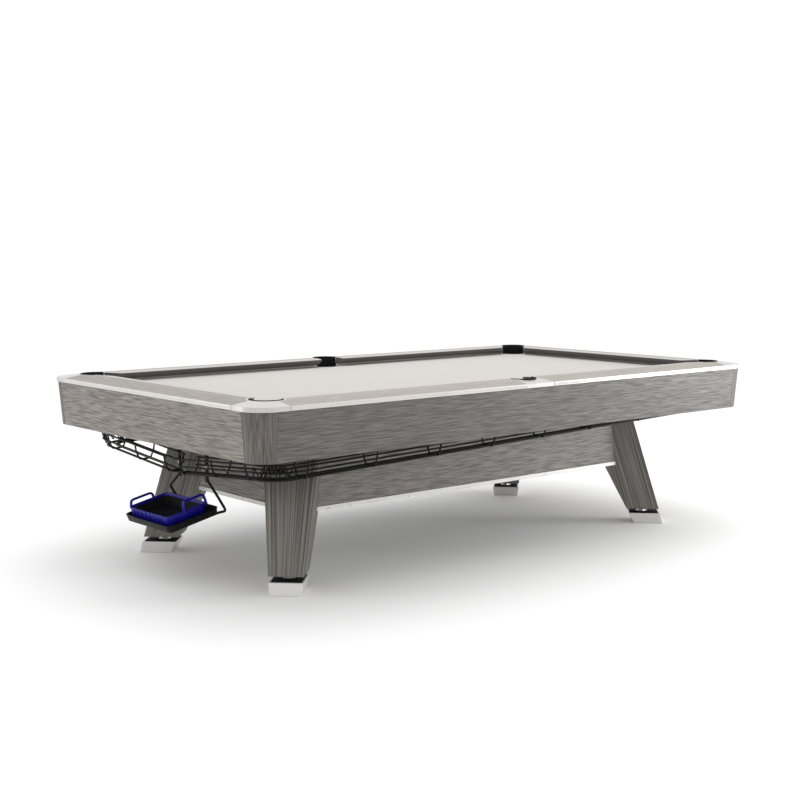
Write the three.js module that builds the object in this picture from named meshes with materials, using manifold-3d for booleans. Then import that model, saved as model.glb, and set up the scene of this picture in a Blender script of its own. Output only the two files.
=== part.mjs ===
// A nine-foot pool table with a wire ball return and a lift-out ball tray.
// Millimetres, +Z up. The origin is on the floor under the middle of the table.
// X runs along the table: the foot end, with the ball tray, is at -X and the head end at +X.
// Y runs across it: the front side is at -Y and the back side at +Y.
import * as THREE from 'three';
import { mergeVertices } from 'three/addons/utils/BufferGeometryUtils.js';
import { ConvexGeometry } from 'three/addons/geometries/ConvexGeometry.js';
import Module from 'manifold-3d';

const wasm = await Module();
wasm.setup();

// ---------------------------------------------------------------- driving dimensions

// Playing surface, from cushion nose to cushion nose.
const PLAY_LENGTH = 2540;
const PLAY_WIDTH = 1270;
const CLOTH_HEIGHT = 750;

// Gap between pieces that touch.
const GAP = 0.4;

// Rails and cushions. Widths are measured outward from the cushion nose.
const RAIL_WIDTH = 175;
const CUSHION_DEPTH = 50;
const CREST_WIDTH = 45;
const NOSE_ABOVE_CLOTH = 36;
const CREST_ABOVE_CLOTH = 42;
const RAIL_EDGE_DROP = 12;
const MOULDING_HEIGHT = 18;
const CORNER_RADIUS = 100;
const CREST_CORNER_RADIUS = 45;
const CUSHION_FOOT = 8;
const CUSHION_NOSE_ROUND = 5;

// Bed.
const CLOTH_THICKNESS = 1.5;
const SLATE_THICKNESS = 25;
const SLATE_MARGIN = 110;
const BEAM_WIDTH = 90;
const BEAM_HEIGHT = 80;
const END_BEAM_SETBACK = 250;

// Pockets.
const POCKET_RADIUS = 57;
const SIDE_POCKET_RADIUS = 55;
const LINER_WALL = 5;
const LINER_DEPTH = 110;
const LINER_BELOW_CREST = 6;
const CORNER_POCKET_OFFSET = 25;
const SIDE_POCKET_OFFSET = 58;
const CORNER_MOUTH_SPARE = 13;
const SIDE_MOUTH_SPARE = 23;
const CORNER_FACING = THREE.MathUtils.degToRad(38);
const SIDE_FACING = THREE.MathUtils.degToRad(76);

// Pocket castings let into the rails.
const CORNER_CASTING = 155;
const SIDE_CASTING_OUTER = 160;
const SIDE_CASTING_INNER = 104;
const CASTING_RIM = 14;

// Aprons below the rails. They lean inward as they go down.
const APRON_HEIGHT = 190;
const APRON_THICKNESS = 22;
const APRON_TOP_INSET = 6;
const APRON_BOTTOM_INSET = 22;
const POST_WIDTH = 104;

// Base box between the legs, set back from the table's outer faces.
const BASE_SETBACK_X = 443;
const BASE_SETBACK_Y = 370;
const BASE_BOTTOM = 292;
const BASE_PANEL = 22;
const BASE_TRIM_HEIGHT = 16;
const BASE_TRIM_PROUD = 3;

// Legs. Each stands diagonally at a corner of the base box and leans outward along the diagonal.
const LEG_INSET_X = 1;
const LEG_INSET_Y = 30;
const LEG_GAUGE_HEIGHT = 600;
const LEG_TOP_OUT = 10;
const LEG_TOP_DEPTH = 272;
const LEG_TOP_WIDTH = 236;
const LEG_FLOOR_OUT = 194;
const LEG_FLOOR_DEPTH = 140;
const LEG_FLOOR_WIDTH = 128;

// Levelling feet.
const SHOE_HEIGHT = 50;
const LEG_CLEARANCE = 22;
const NUT_HEIGHT = 8;
const NUT_RADIUS = 17;
const STUD_RADIUS = 9;
const STUD_IN_LEG = 45;
const STUD_CLEARANCE = 1.5;
const STUD_SPARE = 20;
const STUD_SUNK = 2;
const STUD_SIDES = 16;
const NUT_SIDES = 6;

// Wire ball return: a trough of long wires held by hoops.
const WIRE_RADIUS = 3;
const RAIL_WIRE_RADIUS = 3.5;
const HOOP_BAR = 5;
const HOOP_SPACING = 320;
const HOOP_CLEAR_OF_BEND = 12;
const HOOP_FROM_END = 15;
const TRACK_BEYOND_NOSE = 15;
const TRACK_HEAD_BEYOND_POCKET = 40;
const TRACK_HEAD_HEIGHT = 562;
const TRACK_FALL = 80;
const TRACK_END_HEIGHT = 436;
const TRACK_END_SETBACK = 45;
const TRACK_BEND_RADIUS = 90;
const TRACK_CROSS_INSIDE_NOSE = 8;
const TRACK_WIDTH = 90;
const TRACK_FLOOR_WIDTH = 46;
const TRACK_DEPTH = 66;
const TRACK_HIP_HEIGHT = 29.7;
const TRACK_HIP_INSET = 6;
const TRACK_BEND_STEPS = 4;
const TRACK_BEND_FALL = 4;

// Ball tray and its liner tray, which slope down toward the foot end.
const TRAY_LENGTH = 245;
const TRAY_WIDTH = 360;
const TRAY_TILT = THREE.MathUtils.degToRad(12.6);
const TRAY_FRONT_SETBACK = 17;
const TRAY_FRONT_Z = 226;
const LINER_TRAY_HEIGHT = 28;
const TRAY_WALL = 4;
const BALL_TRAY_LENGTH = 190;
const BALL_TRAY_WIDTH = 310;
const BALL_TRAY_HEIGHT = 55;
const BALL_TRAY_FRONT_GAP = 10;
const HANDLE_LENGTH = 112;
const HANDLE_BAR = 9;
const HANDLE_POST = 13;
const HANDLE_ROOT = 12;
const BACK_HANDLE_FROM = 8;
const BACK_HANDLE_HEIGHT = 30;
const FRONT_HANDLE_HEIGHT = 44;
const HANGER_Y = 105;
const HANGER_BAR_WIDTH = 25;
const HANGER_BAR_THICKNESS = 5;
const HANGER_BAR_BOTTOM = 398;
const HANGER_ROD_RADIUS = 6;
const HANGER_ARM_GAP = 1;
const HANGER_TRACK_GAP = 1.5;
const HANGER_SHELF_INSET = 40;
const HANGER_BACK_REACH = 12;
const HANGER_FRONT_STOP = 25;
const HANGER_ROD_LIFT = 12;

// ---------------------------------------------------------------- derived places

const CORNER_MOUTH = 2 * POCKET_RADIUS + CORNER_MOUTH_SPARE;
const SIDE_MOUTH = 2 * SIDE_POCKET_RADIUS + SIDE_MOUTH_SPARE;
const NOSE_X = PLAY_LENGTH / 2;
const NOSE_Y = PLAY_WIDTH / 2;
const OUTER_X = NOSE_X + RAIL_WIDTH;
const OUTER_Y = NOSE_Y + RAIL_WIDTH;
const CREST_TOP = CLOTH_HEIGHT + CREST_ABOVE_CLOTH;
const MOULDING_TOP = CREST_TOP - RAIL_EDGE_DROP;
const MOULDING_BOTTOM = MOULDING_TOP - MOULDING_HEIGHT;
const CUSHION_BACK_X = NOSE_X + CUSHION_DEPTH;
const CUSHION_BACK_Y = NOSE_Y + CUSHION_DEPTH;
const SLATE_X = NOSE_X + SLATE_MARGIN;
const SLATE_Y = NOSE_Y + SLATE_MARGIN;
const SLATE_TOP = CLOTH_HEIGHT - CLOTH_THICKNESS - GAP;
const SLATE_BOTTOM = SLATE_TOP - SLATE_THICKNESS;
const BEAM_TOP = SLATE_BOTTOM - GAP;
const BEAM_BOTTOM = BEAM_TOP - BEAM_HEIGHT;
const BASE_TOP = BEAM_BOTTOM - GAP;
const APRON_TOP = MOULDING_BOTTOM - GAP;
const APRON_BOTTOM = APRON_TOP - APRON_HEIGHT;
const LEG_BOTTOM = SHOE_HEIGHT + LEG_CLEARANCE;
const SLATE_PIECE = 2 * SLATE_X / 3;
const END_BEAM_X = SLATE_X - END_BEAM_SETBACK;
const BEAM_XS = [-END_BEAM_X, -SLATE_PIECE / 2, SLATE_PIECE / 2, END_BEAM_X];
const LINER_BOTTOM = CLOTH_HEIGHT - LINER_DEPTH;
const BASE_X = OUTER_X - BASE_SETBACK_X;
const BASE_Y = OUTER_Y - BASE_SETBACK_Y;
const TRACK_Y = NOSE_Y + TRACK_BEYOND_NOSE;
const TRACK_CROSS_X = NOSE_X - TRACK_CROSS_INSIDE_NOSE;
const TRAY_FRONT_X = -OUTER_X + TRAY_FRONT_SETBACK;

// How far a cutting solid runs past what it cuts.
const PAST = 10;
// Larger than the whole table.
const GREAT = 4000;

// ---------------------------------------------------------------- materials

const finish = (color, roughness, metalness) =>
  new THREE.MeshStandardMaterial({ color, roughness, metalness });
const GREY_WOOD = finish(0x8e8a84, 0.55, 0);
const CLOTH = finish(0xcfcac4, 0.95, 0);
const SLATE = finish(0x55585b, 0.8, 0);
const PLYWOOD = finish(0xb99b6b, 0.8, 0);
const SATIN_METAL = finish(0xc9c8c4, 0.35, 0.9);
const BLACK_RUBBER = finish(0x161616, 0.8, 0);
const BLACK_WIRE = finish(0x202020, 0.5, 0.2);
const BLACK_PLASTIC = finish(0x191a1c, 0.5, 0);
const BLUE_PLASTIC = finish(0x1a2aa8, 0.35, 0);

// ---------------------------------------------------------------- solids

function solid(geometry) {
  const bare = geometry.index ? geometry.toNonIndexed() : geometry.clone();
  bare.deleteAttribute('normal');
  bare.deleteAttribute('uv');
  const merged = mergeVertices(bare, 1e-4);
  const mesh = new wasm.Mesh({
    numProp: 3,
    vertProperties: new Float32Array(merged.attributes.position.array),
    triVerts: new Uint32Array(merged.index.array),
  });
  return new wasm.Manifold(mesh);
}

function geometryOf(body) {
  const mesh = body.getMesh();
  const geometry = new THREE.BufferGeometry();
  geometry.setAttribute('position', new THREE.BufferAttribute(mesh.vertProperties, 3));
  geometry.setIndex(new THREE.BufferAttribute(mesh.triVerts, 1));
  return geometry;
}

function box(x0, x1, y0, y1, z0, z1) {
  const geometry = new THREE.BoxGeometry(x1 - x0, y1 - y0, z1 - z0);
  geometry.translate((x0 + x1) / 2, (y0 + y1) / 2, (z0 + z1) / 2);
  return solid(geometry);
}

// A plan outline, as [x, y] points, raised from z0 to z1.
function prism(outline, z0, z1) {
  const shape = new THREE.Shape(outline.map(([x, y]) => new THREE.Vector2(x, y)));
  const geometry = new THREE.ExtrudeGeometry(shape, { depth: z1 - z0, bevelEnabled: false });
  geometry.translate(0, 0, z0);
  return solid(geometry);
}

function disc(x, y, radius, z0, z1, sides = 32) {
  const geometry = new THREE.CylinderGeometry(radius, radius, z1 - z0, sides);
  geometry.rotateX(Math.PI / 2);
  geometry.translate(x, y, (z0 + z1) / 2);
  return solid(geometry);
}

function hull(points) {
  return solid(new ConvexGeometry(points.map(([x, y, z]) => new THREE.Vector3(x, y, z))));
}

function union(bodies) {
  return bodies.reduce((whole, next) => whole.add(next));
}

// Points round a rectangle of half sizes hx and hy with rounded corners.
function roundedRectangle(hx, hy, radius, steps = 8) {
  const points = [];
  const corners = [[1, 1, 0], [-1, 1, 1], [-1, -1, 2], [1, -1, 3]];
  for (const [sx, sy, quarter] of corners) {
    for (let step = 0; step <= steps; step += 1) {
      const angle = (quarter + step / steps) * Math.PI / 2;
      points.push([
        sx * (hx - radius) + radius * Math.cos(angle),
        sy * (hy - radius) + radius * Math.sin(angle),
      ]);
    }
  }
  return points;
}

// A solid between two rounded rectangles at different heights.
function taperedBlock(low, high) {
  const layer = ({ hx, hy, radius, z }) =>
    roundedRectangle(hx, hy, radius).map(([x, y]) => [x, y, z]);
  return hull([...layer(low), ...layer(high)]);
}

// ---------------------------------------------------------------- the model's group

const table = new THREE.Group();

function addPiece(name, body, material, parent = table) {
  const mesh = new THREE.Mesh(geometryOf(body), material);
  mesh.name = name;
  parent.add(mesh);
}

// The four corners and the two long sides, with the signs that mirror a piece into place.
const CORNERS = [
  { name: 'foot_front', sx: -1, sy: -1 },
  { name: 'foot_back', sx: -1, sy: 1 },
  { name: 'head_front', sx: 1, sy: -1 },
  { name: 'head_back', sx: 1, sy: 1 },
];
const SIDES = [{ name: 'front', sy: -1 }, { name: 'back', sy: 1 }];
const ENDS = [{ name: 'foot', sx: -1 }, { name: 'head', sx: 1 }];

// ---------------------------------------------------------------- pockets

const CORNER_POCKET_OUTER = POCKET_RADIUS + LINER_WALL;
const SIDE_POCKET_OUTER = SIDE_POCKET_RADIUS + LINER_WALL;

const POCKETS = [
  ...CORNERS.map(({ name, sx, sy }) => ({
    name,
    x: sx * (NOSE_X + CORNER_POCKET_OFFSET),
    y: sy * (NOSE_Y + CORNER_POCKET_OFFSET),
    inner: POCKET_RADIUS,
    outer: CORNER_POCKET_OUTER,
  })),
  ...SIDES.map(({ name, sy }) => ({
    name: `side_${name}`,
    x: 0,
    y: sy * (NOSE_Y + SIDE_POCKET_OFFSET),
    inner: SIDE_POCKET_RADIUS,
    outer: SIDE_POCKET_OUTER,
  })),
];

// Everything that the pocket liners pass through is cut by these.
const pocketHoles = union(POCKETS.map(({ x, y, outer }) =>
  disc(x, y, outer + GAP, LINER_BOTTOM - PAST, CREST_TOP + PAST)));

function pocketLiner({ x, y, inner, outer }) {
  const tube = disc(x, y, outer, LINER_BOTTOM, CREST_TOP - LINER_BELOW_CREST)
    .subtract(disc(x, y, inner, LINER_BOTTOM - PAST, CREST_TOP));
  // Above the cloth the liner stands only behind the line of the cushions.
  const open = box(
    -CUSHION_BACK_X - GAP, CUSHION_BACK_X + GAP,
    -CUSHION_BACK_Y - GAP, CUSHION_BACK_Y + GAP,
    CLOTH_HEIGHT - CLOTH_THICKNESS, CREST_TOP + PAST,
  );
  return tube.subtract(open);
}

for (const pocket of POCKETS) {
  addPiece(`pocket_liner_${pocket.name}`, pocketLiner(pocket), BLACK_RUBBER);
}

// ---------------------------------------------------------------- rails and castings

// The whole frame of rails round the bed, before it is divided into rails and castings.
function railFrame() {
  const crestX = CUSHION_BACK_X + CREST_WIDTH;
  const crestY = CUSHION_BACK_Y + CREST_WIDTH;
  const edge = { hx: OUTER_X, hy: OUTER_Y, radius: CORNER_RADIUS };
  const moulding = taperedBlock({ ...edge, z: MOULDING_BOTTOM }, { ...edge, z: MOULDING_TOP });
  const slope = taperedBlock(
    { ...edge, z: MOULDING_TOP },
    { hx: crestX, hy: crestY, radius: CREST_CORNER_RADIUS, z: CREST_TOP },
  );
  const seat = box(-SLATE_X, SLATE_X, -SLATE_Y, SLATE_Y, CLOTH_HEIGHT + GAP, MOULDING_BOTTOM + 1);
  const bed = box(
    -CUSHION_BACK_X - GAP, CUSHION_BACK_X + GAP,
    -CUSHION_BACK_Y - GAP, CUSHION_BACK_Y + GAP,
    CLOTH_HEIGHT - PAST, CREST_TOP + PAST,
  );
  return union([moulding, slope, seat]).subtract(bed).subtract(pocketHoles);
}

// Plan area of a corner casting, grown by a gap when it is used as a cutter.
function cornerCastingArea({ sx, sy }, grow) {
  const from = (side, outer) => [side * (outer - CORNER_CASTING - grow), side * GREAT];
  const [x0, x1] = from(sx, OUTER_X).sort((a, b) => a - b);
  const [y0, y1] = from(sy, OUTER_Y).sort((a, b) => a - b);
  const pocket = POCKETS.find(({ x, y }) => Math.sign(x) === sx && Math.sign(y) === sy);
  const rim = disc(pocket.x, pocket.y, pocket.outer + CASTING_RIM + grow, 0, GREAT);
  return box(x0, x1, y0, y1, 0, GREAT).add(rim);
}

function sideCastingArea({ sy }, grow) {
  const inner = SIDE_CASTING_INNER / 2 + grow;
  const outer = SIDE_CASTING_OUTER / 2 + grow;
  const plate = prism([
    [-inner, sy * NOSE_Y],
    [inner, sy * NOSE_Y],
    [outer, sy * OUTER_Y],
    [outer, sy * (OUTER_Y + PAST)],
    [-outer, sy * (OUTER_Y + PAST)],
    [-outer, sy * OUTER_Y],
  ], 0, GREAT);
  const pocket = POCKETS.find(({ x, y }) => x === 0 && Math.sign(y) === sy);
  const rim = disc(pocket.x, pocket.y, pocket.outer + CASTING_RIM + grow, 0, GREAT);
  return plate.add(rim);
}

const frameOfRails = railFrame();
const castingCutters = union([
  ...CORNERS.map((corner) => cornerCastingArea(corner, GAP)),
  ...SIDES.map((side) => sideCastingArea(side, GAP)),
]);
const railsOnly = frameOfRails.subtract(castingCutters);

for (const corner of CORNERS) {
  const body = frameOfRails.intersect(cornerCastingArea(corner, 0));
  addPiece(`corner_casting_${corner.name}`, body, SATIN_METAL);
}
for (const side of SIDES) {
  const body = frameOfRails.intersect(sideCastingArea(side, 0));
  addPiece(`side_casting_${side.name}`, body, SATIN_METAL);
}
for (const { name, sy } of SIDES) {
  for (const end of ENDS) {
    const [x0, x1] = [0, end.sx * CUSHION_BACK_X].sort((a, b) => a - b);
    const [y0, y1] = [sy * CUSHION_BACK_Y, sy * GREAT].sort((a, b) => a - b);
    const area = box(x0, x1, y0, y1, 0, GREAT);
    addPiece(`rail_${name}_${end.name}`, railsOnly.intersect(area), GREY_WOOD);
  }
}
for (const { name, sx } of ENDS) {
  const [x0, x1] = [sx * CUSHION_BACK_X, sx * GREAT].sort((a, b) => a - b);
  const area = box(x0, x1, -CUSHION_BACK_Y, CUSHION_BACK_Y, 0, GREAT);
  addPiece(`rail_${name}`, railsOnly.intersect(area), GREY_WOOD);
}

// ---------------------------------------------------------------- cushions

// A cushion lies along local +X with its nose on y = 0 and its back at y = CUSHION_DEPTH.
// The ends are cut at the facing angle of the pocket that they meet.
function cushion(start, startFacing, end, endFacing) {
  const profile = new THREE.Shape([
    new THREE.Vector2(0, NOSE_ABOVE_CLOTH),
    new THREE.Vector2(CUSHION_NOSE_ROUND * 0.6, NOSE_ABOVE_CLOTH - CUSHION_NOSE_ROUND),
    new THREE.Vector2(CUSHION_DEPTH, CUSHION_FOOT),
    new THREE.Vector2(CUSHION_DEPTH, CREST_ABOVE_CLOTH),
    new THREE.Vector2(CUSHION_NOSE_ROUND * 0.4, NOSE_ABOVE_CLOTH + CUSHION_NOSE_ROUND * 0.4),
  ]);
  const startBack = start - CUSHION_DEPTH / Math.tan(startFacing);
  const endBack = end + CUSHION_DEPTH / Math.tan(endFacing);
  const length = endBack - startBack;
  const bar = new THREE.ExtrudeGeometry(profile, { depth: length, bevelEnabled: false });
  // The profile's x becomes +Y, its y becomes +Z, and the extrusion runs along +X.
  const turn = new THREE.Matrix4().makeBasis(
    new THREE.Vector3(0, 1, 0),
    new THREE.Vector3(0, 0, 1),
    new THREE.Vector3(1, 0, 0),
  );
  bar.applyMatrix4(turn);
  bar.translate(startBack, 0, CLOTH_HEIGHT);
  const plan = prism(
    [[start, 0], [end, 0], [endBack, CUSHION_DEPTH], [startBack, CUSHION_DEPTH]],
    CLOTH_HEIGHT - PAST, CREST_TOP + PAST,
  );
  return solid(bar).intersect(plan);
}

const cornerCut = CORNER_MOUTH / Math.SQRT2;

for (const { name, sy } of SIDES) {
  for (const end of ENDS) {
    const half = cushion(SIDE_MOUTH / 2, SIDE_FACING, NOSE_X - cornerCut, CORNER_FACING);
    const outward = half.translate([0, NOSE_Y, 0]);
    let placed = outward;
    if (sy < 0) {
      placed = placed.mirror([0, 1, 0]);
    }
    if (end.sx < 0) {
      placed = placed.mirror([1, 0, 0]);
    }
    addPiece(`cushion_${name}_${end.name}`, placed.subtract(pocketHoles), CLOTH);
  }
}
for (const { name, sx } of ENDS) {
  const reach = NOSE_Y - cornerCut;
  const across = cushion(-reach, CORNER_FACING, reach, CORNER_FACING);
  const placed = across.translate([0, NOSE_X, 0]).rotate([0, 0, -sx * 90]);
  addPiece(`cushion_${name}`, placed.subtract(pocketHoles), CLOTH);
}

// ---------------------------------------------------------------- bed

const clothSheet = box(
  -SLATE_X, SLATE_X, -SLATE_Y, SLATE_Y,
  CLOTH_HEIGHT - CLOTH_THICKNESS, CLOTH_HEIGHT,
);
addPiece('bed_cloth', clothSheet.subtract(pocketHoles), CLOTH);

['foot', 'middle', 'head'].forEach((name, index) => {
  const x0 = -SLATE_X + index * SLATE_PIECE + (index > 0 ? GAP : 0);
  const x1 = -SLATE_X + (index + 1) * SLATE_PIECE;
  const body = box(x0, x1, -SLATE_Y, SLATE_Y, SLATE_BOTTOM, SLATE_TOP);
  addPiece(`slate_${name}`, body.subtract(pocketHoles), SLATE);
});

// Inner face of the apron at a height, measured from the table's middle.
function apronInner(outer, z) {
  const share = (APRON_TOP - z) / APRON_HEIGHT;
  const inset = APRON_TOP_INSET + share * (APRON_BOTTOM_INSET - APRON_TOP_INSET);
  return outer - inset - APRON_THICKNESS;
}

BEAM_XS.forEach((x, index) => {
  const reach = apronInner(OUTER_Y, BEAM_BOTTOM) - GAP;
  const body = box(x - BEAM_WIDTH / 2, x + BEAM_WIDTH / 2, -reach, reach, BEAM_BOTTOM, BEAM_TOP);
  addPiece(`cross_beam_${index + 1}`, body, PLYWOOD);
});

// ---------------------------------------------------------------- aprons and corner posts

function apronFrame() {
  const layer = (z, inset) => ({
    hx: OUTER_X - inset, hy: OUTER_Y - inset, radius: CORNER_RADIUS - inset, z,
  });
  const inside = (z, inset) => ({
    hx: OUTER_X - inset - APRON_THICKNESS,
    hy: OUTER_Y - inset - APRON_THICKNESS,
    radius: CORNER_RADIUS - inset - APRON_THICKNESS,
    z,
  });
  const outer = taperedBlock(
    layer(APRON_BOTTOM, APRON_BOTTOM_INSET),
    layer(APRON_TOP, APRON_TOP_INSET),
  );
  // The inner cut runs past both faces along the same slope.
  const lean = (APRON_BOTTOM_INSET - APRON_TOP_INSET) / APRON_HEIGHT;
  const inner = taperedBlock(
    inside(APRON_BOTTOM - PAST, APRON_BOTTOM_INSET + lean * PAST),
    inside(APRON_TOP + PAST, APRON_TOP_INSET - lean * PAST),
  );
  return outer.subtract(inner);
}

const apronRing = apronFrame();
const postX = OUTER_X - POST_WIDTH;
const postY = OUTER_Y - POST_WIDTH;

for (const { name, sx, sy } of CORNERS) {
  const [x0, x1] = [sx * (postX + GAP), sx * GREAT].sort((a, b) => a - b);
  const [y0, y1] = [sy * (postY + GAP), sy * GREAT].sort((a, b) => a - b);
  addPiece(`corner_post_${name}`, apronRing.intersect(box(x0, x1, y0, y1, 0, GREAT)), GREY_WOOD);
}
for (const { name, sy } of SIDES) {
  const [y0, y1] = [0, sy * GREAT].sort((a, b) => a - b);
  addPiece(`apron_${name}`, apronRing.intersect(box(-postX, postX, y0, y1, 0, GREAT)), GREY_WOOD);
}
for (const { name, sx } of ENDS) {
  const [x0, x1] = [0, sx * GREAT].sort((a, b) => a - b);
  addPiece(`apron_${name}`, apronRing.intersect(box(x0, x1, -postY, postY, 0, GREAT)), GREY_WOOD);
}

// ---------------------------------------------------------------- legs and feet

const LEG_X = BASE_X - LEG_INSET_X;
const LEG_Y = BASE_Y - LEG_INSET_Y;

// How far the leg's outer face is from its axis point, its depth and its width, at a height.
function legSection(z) {
  const share = (LEG_GAUGE_HEIGHT - z) / LEG_GAUGE_HEIGHT;
  return {
    out: LEG_TOP_OUT + share * (LEG_FLOOR_OUT - LEG_TOP_OUT),
    depth: LEG_TOP_DEPTH + share * (LEG_FLOOR_DEPTH - LEG_TOP_DEPTH),
    width: LEG_TOP_WIDTH + share * (LEG_FLOOR_WIDTH - LEG_TOP_WIDTH),
  };
}

// A point beside the leg's axis point: outward along the diagonal, and across it.
function besideLeg({ sx, sy }, outward, across) {
  const diagonal = Math.SQRT1_2;
  return [
    sx * LEG_X + diagonal * (sx * outward - sy * across),
    sy * LEG_Y + diagonal * (sy * outward + sx * across),
  ];
}

function legBlock(corner, z0, z1, grow = 0, beyond = 0) {
  const points = [];
  for (const z of [z0, z1]) {
    const { out, depth, width } = legSection(z);
    for (const across of [-width / 2 - grow, width / 2 + grow]) {
      points.push([...besideLeg(corner, out + grow + beyond, across), z]);
      points.push([...besideLeg(corner, out - depth - grow, across), z]);
    }
  }
  return hull(points);
}

// The stud stands in the middle of the leg's bottom face.
const foot = legSection(LEG_BOTTOM);
const STUD_OUT = foot.out - foot.depth / 2;

for (const corner of CORNERS) {
  const [studX, studY] = besideLeg(corner, STUD_OUT, 0);
  const studTop = LEG_BOTTOM + STUD_IN_LEG;
  const bore = disc(
    studX, studY, STUD_RADIUS + STUD_CLEARANCE,
    LEG_BOTTOM - PAST, studTop + STUD_SPARE, STUD_SIDES,
  );
  const leg = legBlock(corner, LEG_BOTTOM, BASE_TOP).subtract(bore);
  addPiece(`leg_${corner.name}`, leg, GREY_WOOD);

  const shoe = legBlock(corner, 0, SHOE_HEIGHT);
  const sunk = SHOE_HEIGHT - STUD_SUNK;
  const nut = disc(studX, studY, NUT_RADIUS, sunk, SHOE_HEIGHT + NUT_HEIGHT, NUT_SIDES);
  const stud = disc(studX, studY, STUD_RADIUS, sunk, studTop, STUD_SIDES);
  addPiece(`levelling_foot_${corner.name}`, union([shoe, nut, stud]), SATIN_METAL);
}

// ---------------------------------------------------------------- base box

// The panels end against the legs, and nothing of them is left beyond a leg.
const legSpaces = union(CORNERS.map((corner) =>
  legBlock(corner, BASE_BOTTOM - PAST, BASE_TOP + PAST, GAP, LEG_TOP_WIDTH)));

for (const { name, sy } of SIDES) {
  const face = BASE_Y;
  const span = (near, far, z1) => {
    const [y0, y1] = [sy * near, sy * far].sort((a, b) => a - b);
    return box(-BASE_X, BASE_X, y0, y1, BASE_BOTTOM, z1);
  };
  const panel = span(face - BASE_PANEL, face, BASE_TOP);
  const trim = span(face - 1, face + BASE_TRIM_PROUD, BASE_BOTTOM + BASE_TRIM_HEIGHT);
  addPiece(`base_panel_${name}`, panel.add(trim).subtract(legSpaces), GREY_WOOD);
}
for (const { name, sx } of ENDS) {
  const face = BASE_X;
  const reach = BASE_Y - BASE_PANEL - GAP;
  const span = (near, far, z1) => {
    const [x0, x1] = [sx * near, sx * far].sort((a, b) => a - b);
    return box(x0, x1, -reach, reach, BASE_BOTTOM, z1);
  };
  const panel = span(face - BASE_PANEL, face, BASE_TOP);
  const trim = span(face - 1, face + BASE_TRIM_PROUD, BASE_BOTTOM + BASE_TRIM_HEIGHT);
  addPiece(`base_panel_${name}`, panel.add(trim).subtract(legSpaces), GREY_WOOD);
}

// ---------------------------------------------------------------- wire ball return

// A wire bent at each of its points, with straight runs between them.
class BentWire extends THREE.Curve {
  constructor(points) {
    super();
    this.points = points;
  }

  getPoint(t) {
    const last = this.points.length - 1;
    const index = Math.min(Math.floor(t * last + 1e-6), last - 1);
    const share = t * last - index;
    return this.points[index].clone().lerp(this.points[index + 1], share);
  }

  getPointAt(u) {
    return this.getPoint(u);
  }

  getTangentAt(u) {
    const last = this.points.length - 1;
    const index = Math.round(u * last);
    const before = this.points[Math.max(index - 1, 0)];
    const after = this.points[Math.min(index + 1, last)];
    const here = this.points[index];
    const arriving = here.clone().sub(before).normalize();
    const leaving = after.clone().sub(here).normalize();
    return arriving.add(leaving).normalize();
  }
}

function wire(points, radius, sides = 4) {
  const section = new THREE.Shape();
  for (let side = 0; side < sides; side += 1) {
    const angle = (side + 0.5) / sides * Math.PI * 2;
    const [x, y] = [radius * Math.cos(angle), radius * Math.sin(angle)];
    if (side === 0) {
      section.moveTo(x, y);
    } else {
      section.lineTo(x, y);
    }
  }
  const path = new BentWire(points);
  const steps = points.length - 1;
  return solid(new THREE.ExtrudeGeometry(section, { steps, extrudePath: path, bevelEnabled: false }));
}

// The trough's centre line on the front side, from the head end to above the tray.
function trackLine() {
  const bendX = -TRACK_CROSS_X + TRACK_BEND_RADIUS;
  const bendY = -TRACK_Y + TRACK_BEND_RADIUS;
  const headX = NOSE_X + CORNER_POCKET_OFFSET + TRACK_HEAD_BEYOND_POCKET;
  const bendHeight = TRACK_HEAD_HEIGHT - TRACK_FALL;
  const line = [new THREE.Vector3(headX, -TRACK_Y, TRACK_HEAD_HEIGHT)];
  for (let step = 0; step <= TRACK_BEND_STEPS; step += 1) {
    const share = step / TRACK_BEND_STEPS;
    const angle = -(1 + share) * Math.PI / 2;
    line.push(new THREE.Vector3(
      bendX + TRACK_BEND_RADIUS * Math.cos(angle),
      bendY + TRACK_BEND_RADIUS * Math.sin(angle),
      bendHeight - share * TRACK_BEND_FALL,
    ));
  }
  line.push(new THREE.Vector3(-TRACK_CROSS_X, -TRACK_END_SETBACK, TRACK_END_HEIGHT));
  // One more point on each straight run, just clear of the bend, keeps the run's wires straight,
  // and one between each two beams keeps their faces short.
  const beyondBend = (end, bend) =>
    bend.clone().add(end.clone().sub(bend).setLength(HOOP_CLEAR_OF_BEND));
  const last = line.length - 1;
  const nearBend = beyondBend(line[0], line[1]);
  const betweenBeams = BEAM_XS.map((x, index) => {
    const next = BEAM_XS[index + 1] ?? headX;
    const share = (headX - x - (next - x) / 4) / (headX - nearBend.x);
    return line[0].clone().lerp(nearBend, share);
  }).reverse();
  return [
    line[0],
    ...betweenBeams,
    nearBend,
    ...line.slice(1, last),
    beyondBend(line[last], line[last - 1]),
    line[last],
  ];
}

const CENTRE_LINE = trackLine();

// Level direction along the centre line at one of its points.
function headingAt(index) {
  const before = CENTRE_LINE[Math.max(index - 1, 0)];
  const after = CENTRE_LINE[Math.min(index + 1, CENTRE_LINE.length - 1)];
  const here = CENTRE_LINE[index];
  const arriving = here.clone().sub(before).setZ(0).normalize();
  const leaving = after.clone().sub(here).setZ(0).normalize();
  return arriving.add(leaving).normalize();
}

// A line beside the centre line: across it (+ is toward the outside of the bend) and above it.
function besideTrack(across, above) {
  return CENTRE_LINE.map((point, index) => {
    const heading = headingAt(index);
    const outward = new THREE.Vector3(-heading.y, heading.x, 0);
    return point.clone().addScaledVector(outward, across).add(new THREE.Vector3(0, 0, above));
  });
}

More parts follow.
